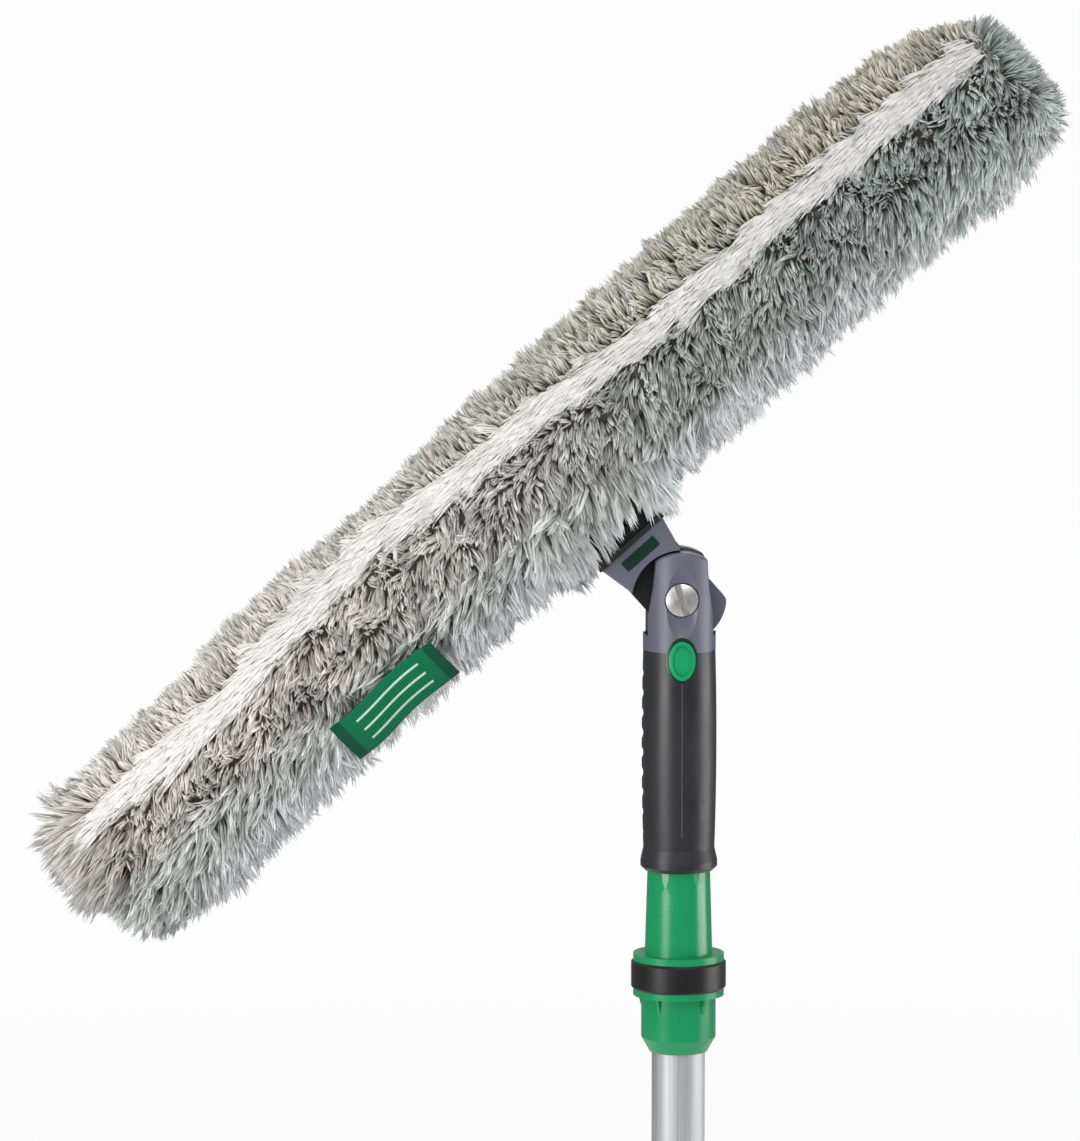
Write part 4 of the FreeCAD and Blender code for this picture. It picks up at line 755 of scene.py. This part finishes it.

# How light each lock is, from nought to one. It varies most in the fringe. The lower zones and the
# left of the upper band are lighter, the left end and the front to the right are darker, and the
# stripe is nearly even. The lightness added to the fringe and to the left of the upper band is
# painted light.
wave_shade_noise = 0.045
lock_shade_noise = 0.22
strand_shade_noise = 0.08
stripe_shade = 0.8
stripe_evenness = 0.7
cool = np.maximum(ease(share, -0.55, 0.75), 0.7 * lower)
olive = upper * (0.2 + 0.8 * cool)
wave_shade = waves @ draw.normal(0, wave_shade_noise, wave_count)
own_shade = draw.normal(0, lock_shade_noise, lock_count)
lock_shade = 0.5 + (1 + 0.4 * lower + 0.8 * fringe) * (wave_shade + own_shade)
# Painted light: the fringe is made lighter, most to its left, as a glow of the light behind it.
zone_shade = 0.2 * lower + (0.25 + 0.25 * ease(-share, -0.3, 0.1)) * fringe
zone_shade -= 0.35 * ease(-share, 0.86, 0.97)
lock_shade += zone_shade
# Painted light: the upper band is made lighter, most to its left, where the light falls on it.
lock_shade += (0.1 + 0.12 * ease(-share, 0.2, 0.6)) * upper
lock_shade -= 0.24 * (1 - upper) * (1 - lower) * ease(share, -0.1, 0.3)
strand_shade = np.clip(lock_shade[lock] + draw.normal(0, strand_shade_noise, count), 0, 1)
strand_shade += stripe_evenness * white[lock] * (stripe_shade - strand_shade)
marks = {"cool": cool[lock], "upper": olive[lock], "fringe": fringe[lock],
         "white": white[lock], "shade": strand_shade}

# The strands are parted into bands round the sleeve, each a piece of its own.
band_count = 10
order = np.argsort(lock_turn[lock], kind="stable")
head_ways = np.stack([bar_way, neck_way, np.array([0.0, 1.0, 0.0])])
for band, chosen in enumerate(np.array_split(order, band_count), 1):
    points = on_head(*strand_points[chosen].reshape(-1, 3).T)
    start = (np.arange(len(chosen)) * points_in_strand)[:, None, None]
    piece = new_piece(f"pile_band_{band}", "head", points,
                      [(start + strand_sides).reshape(-1, 4), (start + strand_ends).reshape(-1, 3)],
                      pile_fibre)
    facing = strand_facing[chosen].reshape(-1, 3) @ head_ways
    piece.data.normals_split_custom_set_from_vertices(facing)
    piece.data.attributes.new("grow", "FLOAT", "POINT").data.foreach_set(
        "value", np.tile(grown, len(chosen)).astype(np.float32))
    for name, values in marks.items():
        piece.data.attributes.new(name, "FLOAT", "POINT").data.foreach_set(
            "value", np.repeat(values[chosen], points_in_strand).astype(np.float32))


# ----------------------------------------------------------------------------------------------
# Woven label
# A plain green label, woven in polyester satin, folded under at its ends and sewn on the pile.

def woven(name, codes, thread, rough):
    """A plain weave: two waves of thread width, one along each way of the piece's map in metres."""
    made, tree, surface = new_finish(name)
    spread = add(tree, "UVMap", {}, uv_map="cloth").outputs["UV"]
    wave = {"Vector": spread, "Scale": 1 / (thread * 2 * math.pi)}
    warp = add(tree, "TexWave", wave, bands_direction="X")
    weft = add(tree, "TexWave", wave, bands_direction="Y")
    weave = add(tree, "MixRGB", {
        "Fac": 0.5, "Color1": warp.outputs["Fac"], "Color2": weft.outputs["Fac"]})
    tone = add(tree, "ValToRGB", {"Fac": weave.outputs["Color"]},
               [(0.2, codes[0]), (0.8, codes[1])])
    relief = add(tree, "Bump", {
        "Height": weave.outputs["Color"], "Strength": 0.4, "Distance": 0.0001})
    feed(tree, surface, {
        "Base Color": tone.outputs["Color"], "Roughness": rough, "Specular IOR Level": 0.2,
        "Normal": relief.outputs["Normal"],
    })
    return made, tree, surface


def lay_map(piece, across, along):
    """The cloth's own map, in metres across and along, taken from two values for each point."""
    mesh = piece.data
    corners = np.zeros(len(mesh.loops), np.int32)
    mesh.loops.foreach_get("vertex_index", corners)
    spread = np.stack([across.ravel()[corners], along.ravel()[corners]], 1)
    mesh.uv_layers.new(name="cloth").uv.foreach_set("vector", spread.astype(np.float32).ravel())


# Polyester satin: fine crosswise ribs with a silky gloss, and darker turned-under ends.
label_cloth, tree, surface = woven("woven_polyester_satin", ("#005c3e", "#00764f"), 0.0005, 0.75)
label_end_band = 0.0042
spread = add(tree, "UVMap", {}, uv_map="cloth").outputs["UV"]
split = add(tree, "SeparateXYZ", {"Vector": spread})
inward = add(tree, "Math", {0: split.outputs["X"]}, operation="ABSOLUTE")
end_band = add(tree, "Math", {0: inward.outputs["Value"], 1: label_half[0] - label_end_band},
               operation="GREATER_THAN")
ground = surface.inputs["Base Color"].links[0].from_socket
banded = add(tree, "MixRGB", {
    "Fac": end_band.outputs["Value"], "Color1": ground, "Color2": linear("#004c33")})
# Three plain pale lines are woven in along it.
line_gap = 0.0045
line_width = 0.0009
line_end = 0.0155
off_middle = add(tree, "Math", {0: split.outputs["Y"]}, operation="ABSOLUTE")
spaced = add(tree, "Math", {0: off_middle.outputs["Value"], 1: line_gap / 2}, operation="PINGPONG")
thin = add(tree, "Math", {0: spaced.outputs["Value"], 1: line_width / 2}, operation="LESS_THAN")
amid = add(tree, "Math", {0: off_middle.outputs["Value"], 1: 1.5 * line_gap}, operation="LESS_THAN")
short = add(tree, "Math", {0: inward.outputs["Value"], 1: line_end}, operation="LESS_THAN")
some = add(tree, "Math", {0: thin.outputs["Value"], 1: amid.outputs["Value"]}, operation="MULTIPLY")
pale_lines = add(tree, "Math", {0: some.outputs["Value"], 1: short.outputs["Value"]},
                 operation="MULTIPLY")
lined = add(tree, "MixRGB", {"Fac": pale_lines.outputs["Value"], "Color1": banded.outputs["Color"],
                             "Color2": linear("#b9d3c6")})
feed(tree, surface, {"Base Color": lined.outputs["Color"]})

label_lift = 0.0012
label_thickness = 0.0005
label_oval_height = 0.0362
label_oval_depth = 0.0290
edge_wave = 0.0008
face_wave = 0.0007
along = np.linspace(-label_half[0], label_half[0], 73)[:, None]
up = np.linspace(-label_half[1], label_half[1], 29)[None, :]
droop = pile_droop * ((label_middle[0] - pile_shift) / pile_half_length) ** 2
out = label_middle[1] + droop + up + edge_wave * np.sin(along / label_half[0] * 3.6 + 0.6)
# The label lies on the pile's oval, and waves in and out a little.
on_oval = np.sqrt(np.clip(1 - (out / label_oval_height) ** 2, 0, 1))
deep = -label_oval_depth * on_oval - label_lift
deep = deep - face_wave * np.sin(along / label_half[0] * 5.0 + up / label_half[1] * 1.2)
label_spots = np.broadcast_arrays(along + label_middle[0], out - droop, deep)
label = new_piece("woven_label", "head", on_head(*label_spots).reshape(-1, 3),
                  [grid_faces(along.size, up.size, False)], label_cloth)
lay_map(label, *np.broadcast_arrays(along, up))
wall = label.modifiers.new("thickness", "SOLIDIFY")
wall.thickness = label_thickness
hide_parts("sleeve_label")


# ----------------------------------------------------------------------------------------------
# Closing tapes
# Hook tape on the lining's right end and loop tape on the flap over it, both woven nylon.

# Black hook and loop: a matt, bristly surface, drawn as a coarse grain.
hook_and_loop, *_ = moulded(
    "woven_nylon_hook_and_loop", ("#161618", "#2c2c2f"), (0.8, 0.95), 0.0012, 0.0004)
tape_thickness = 0.0011
tape_half_length = 0.016
tape_half_width = 0.006
tape_gap = 0.0009
tape_crown = 0.0001
tape_wall_share = 0.8
for name, layer in (("hook_tape", 0), ("loop_tape", 1)):
    out = np.linspace(-tape_half_length, tape_half_length, 33)[:, None]
    deep = np.linspace(-tape_half_width, tape_half_width, 13)[None, :]
    # A slight crown: the edges stand back with the square of the way from the middle.
    crown = tape_crown * (1 - (out / tape_half_length) ** 2)
    far = lining_end + tape_gap + layer * tape_thickness + crown
    tape_spots = np.broadcast_arrays(far, out, deep)
    piece = new_piece(f"sleeve_{name}", "head", on_head(*tape_spots).reshape(-1, 3),
                      [grid_faces(out.size, deep.size, False)], hook_and_loop)
    wall = piece.modifiers.new("thickness", "SOLIDIFY")
    wall.thickness = tape_thickness * tape_wall_share
    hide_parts(name)


# ----------------------------------------------------------------------------------------------
# Floor and light
# A plain white studio: a floor that is white to the eye and keeps a soft shadow, low soft boxes
# to the left and the right, and wide ones above in front and behind. Away from them it is dimmer.

floor_reach = 40.0
room_dimness = 0.18
zenith_light = 0.55
white_floor, tree, surface = new_finish("white_studio_floor")
path = add(tree, "LightPath", {})
through = add(tree, "Math", {
    0: path.outputs["Is Camera Ray"], 1: path.outputs["Is Transmission Ray"]}, operation="MAXIMUM")
seen = add(tree, "Math", {0: through.outputs["Value"], 1: path.outputs["Is Glossy Ray"]},
           operation="MAXIMUM")
away = add(tree, "VectorMath", {0: add(tree, "TexCoord", {}).outputs["Object"]}, operation="LENGTH")
room = add(tree, "MapRange", {"Value": away.outputs["Value"], "From Min": 0.15, "From Max": 0.6,
                              "To Min": 1.0, "To Max": room_dimness})
bright = add(tree, "Math", {0: through.outputs["Value"], 1: room.outputs["Result"]},
             operation="MAXIMUM")
glow = add(tree, "Emission", {"Color": linear("#ffffff"), "Strength": bright.outputs["Value"]})
chalk = add(tree, "BsdfDiffuse", {"Color": linear("#e4e4e4")})
clear = add(tree, "MapRange", {"Value": away.outputs["Value"], "From Min": 0.3, "From Max": 1.2,
                               "To Min": 0.82, "To Max": 0.97})
share_of_glow = add(tree, "Math", {0: seen.outputs["Value"], 1: clear.outputs["Result"]},
                    operation="MULTIPLY")
blended = add(tree, "MixShader", {
    "Fac": share_of_glow.outputs["Value"], 1: chalk.outputs["BSDF"], 2: glow.outputs["Emission"]})
tree.links.new(blended.outputs["Shader"], tree.nodes["Material Output"].inputs["Surface"])
mesh = bpy.data.meshes.new("studio_floor")
corners = [(-floor_reach, -floor_reach, 0), (floor_reach, -floor_reach, 0),
           (floor_reach, floor_reach, 0), (-floor_reach, floor_reach, 0)]
mesh.from_pydata(corners, [], [(0, 1, 2, 3)])
mesh.materials.append(white_floor)
floor = bpy.data.objects.new("studio_floor", mesh)
bpy.context.scene.collection.objects.link(floor)

world = bpy.data.worlds.new("studio_air")
bpy.context.scene.world = world
world.use_nodes = True
tree = world.node_tree
path = add(tree, "LightPath", {})
through = add(tree, "Math", {
    0: path.outputs["Is Camera Ray"], 1: path.outputs["Is Transmission Ray"]}, operation="MAXIMUM")
climbing = add(tree, "SeparateXYZ", {"Vector": add(tree, "TexCoord", {}).outputs["Generated"]})
room = add(tree, "MapRange", {"Value": climbing.outputs["Z"], "From Min": 0.0, "From Max": 0.7,
                              "To Min": room_dimness, "To Max": zenith_light})
bright = add(tree, "Math", {0: through.outputs["Value"], 1: room.outputs["Result"]},
             operation="MAXIMUM")
feed(tree, tree.nodes["Background"], {
    "Color": linear("#ffffff"), "Strength": bright.outputs["Value"]})

aim = np.array([-0.03, 0.0, 0.33])
for name, bearing, lamp_height, distance, width, tall, power in (
        ("left_box", -50, 0.27, 1.00, 0.44, 0.34, 5.4),
        ("right_box", 86, 0.16, 1.00, 0.66, 0.30, 3.9),
        ("front_box", 8, 1.90, 1.50, 1.40, 1.40, 20.0),
        ("back_box", 176, 1.70, 1.70, 1.40, 1.40, 13.0)):
    lamp = bpy.data.lights.new(name, "AREA")
    lamp.shape = "RECTANGLE"
    lamp.size = width
    lamp.size_y = tall
    lamp.energy = power
    stand = bpy.data.objects.new(name, lamp)
    bpy.context.scene.collection.objects.link(stand)
    lamp_turn = math.radians(bearing)
    stand.location = (aim[0] + math.sin(lamp_turn) * distance,
                      aim[1] - math.cos(lamp_turn) * distance, lamp_height)
    lamp_tip = math.pi / 2 - math.atan2(lamp_height - aim[2], distance)
    stand.rotation_euler = (lamp_tip, 0.0, lamp_turn)
    stand.visible_camera = False


# ----------------------------------------------------------------------------------------------
# Camera
# A long lens, a little above the swivel and a little to its left, with the frame of 1080 by 1141.

view_bearing = math.radians(-3.5)
view_climb = math.radians(7.0)
view_distance = 2.5
frame_width = 0.4028
view_left = 0.0520
view_up = 0.0096
to_eye = np.array([math.sin(view_bearing) * math.cos(view_climb),
                   -math.cos(view_bearing) * math.cos(view_climb), math.sin(view_climb)])
rightward = np.array([math.cos(view_bearing), math.sin(view_bearing), 0.0])
upward = np.cross(to_eye, rightward)
middle = np.array([0.0, 0.0, swivel_height]) - rightward * view_left + upward * view_up
lens = bpy.data.cameras.new("eye")
lens.sensor_fit = "HORIZONTAL"
lens.angle = 2 * math.atan(frame_width / 2 / view_distance)
eye = bpy.data.objects.new("eye", lens)
bpy.context.scene.collection.objects.link(eye)
eye.location = middle + to_eye * view_distance
eye.rotation_euler = (math.pi / 2 - view_climb, 0.0, view_bearing)
bpy.context.scene.camera = eye
bpy.context.scene.view_settings.view_transform = "Standard"
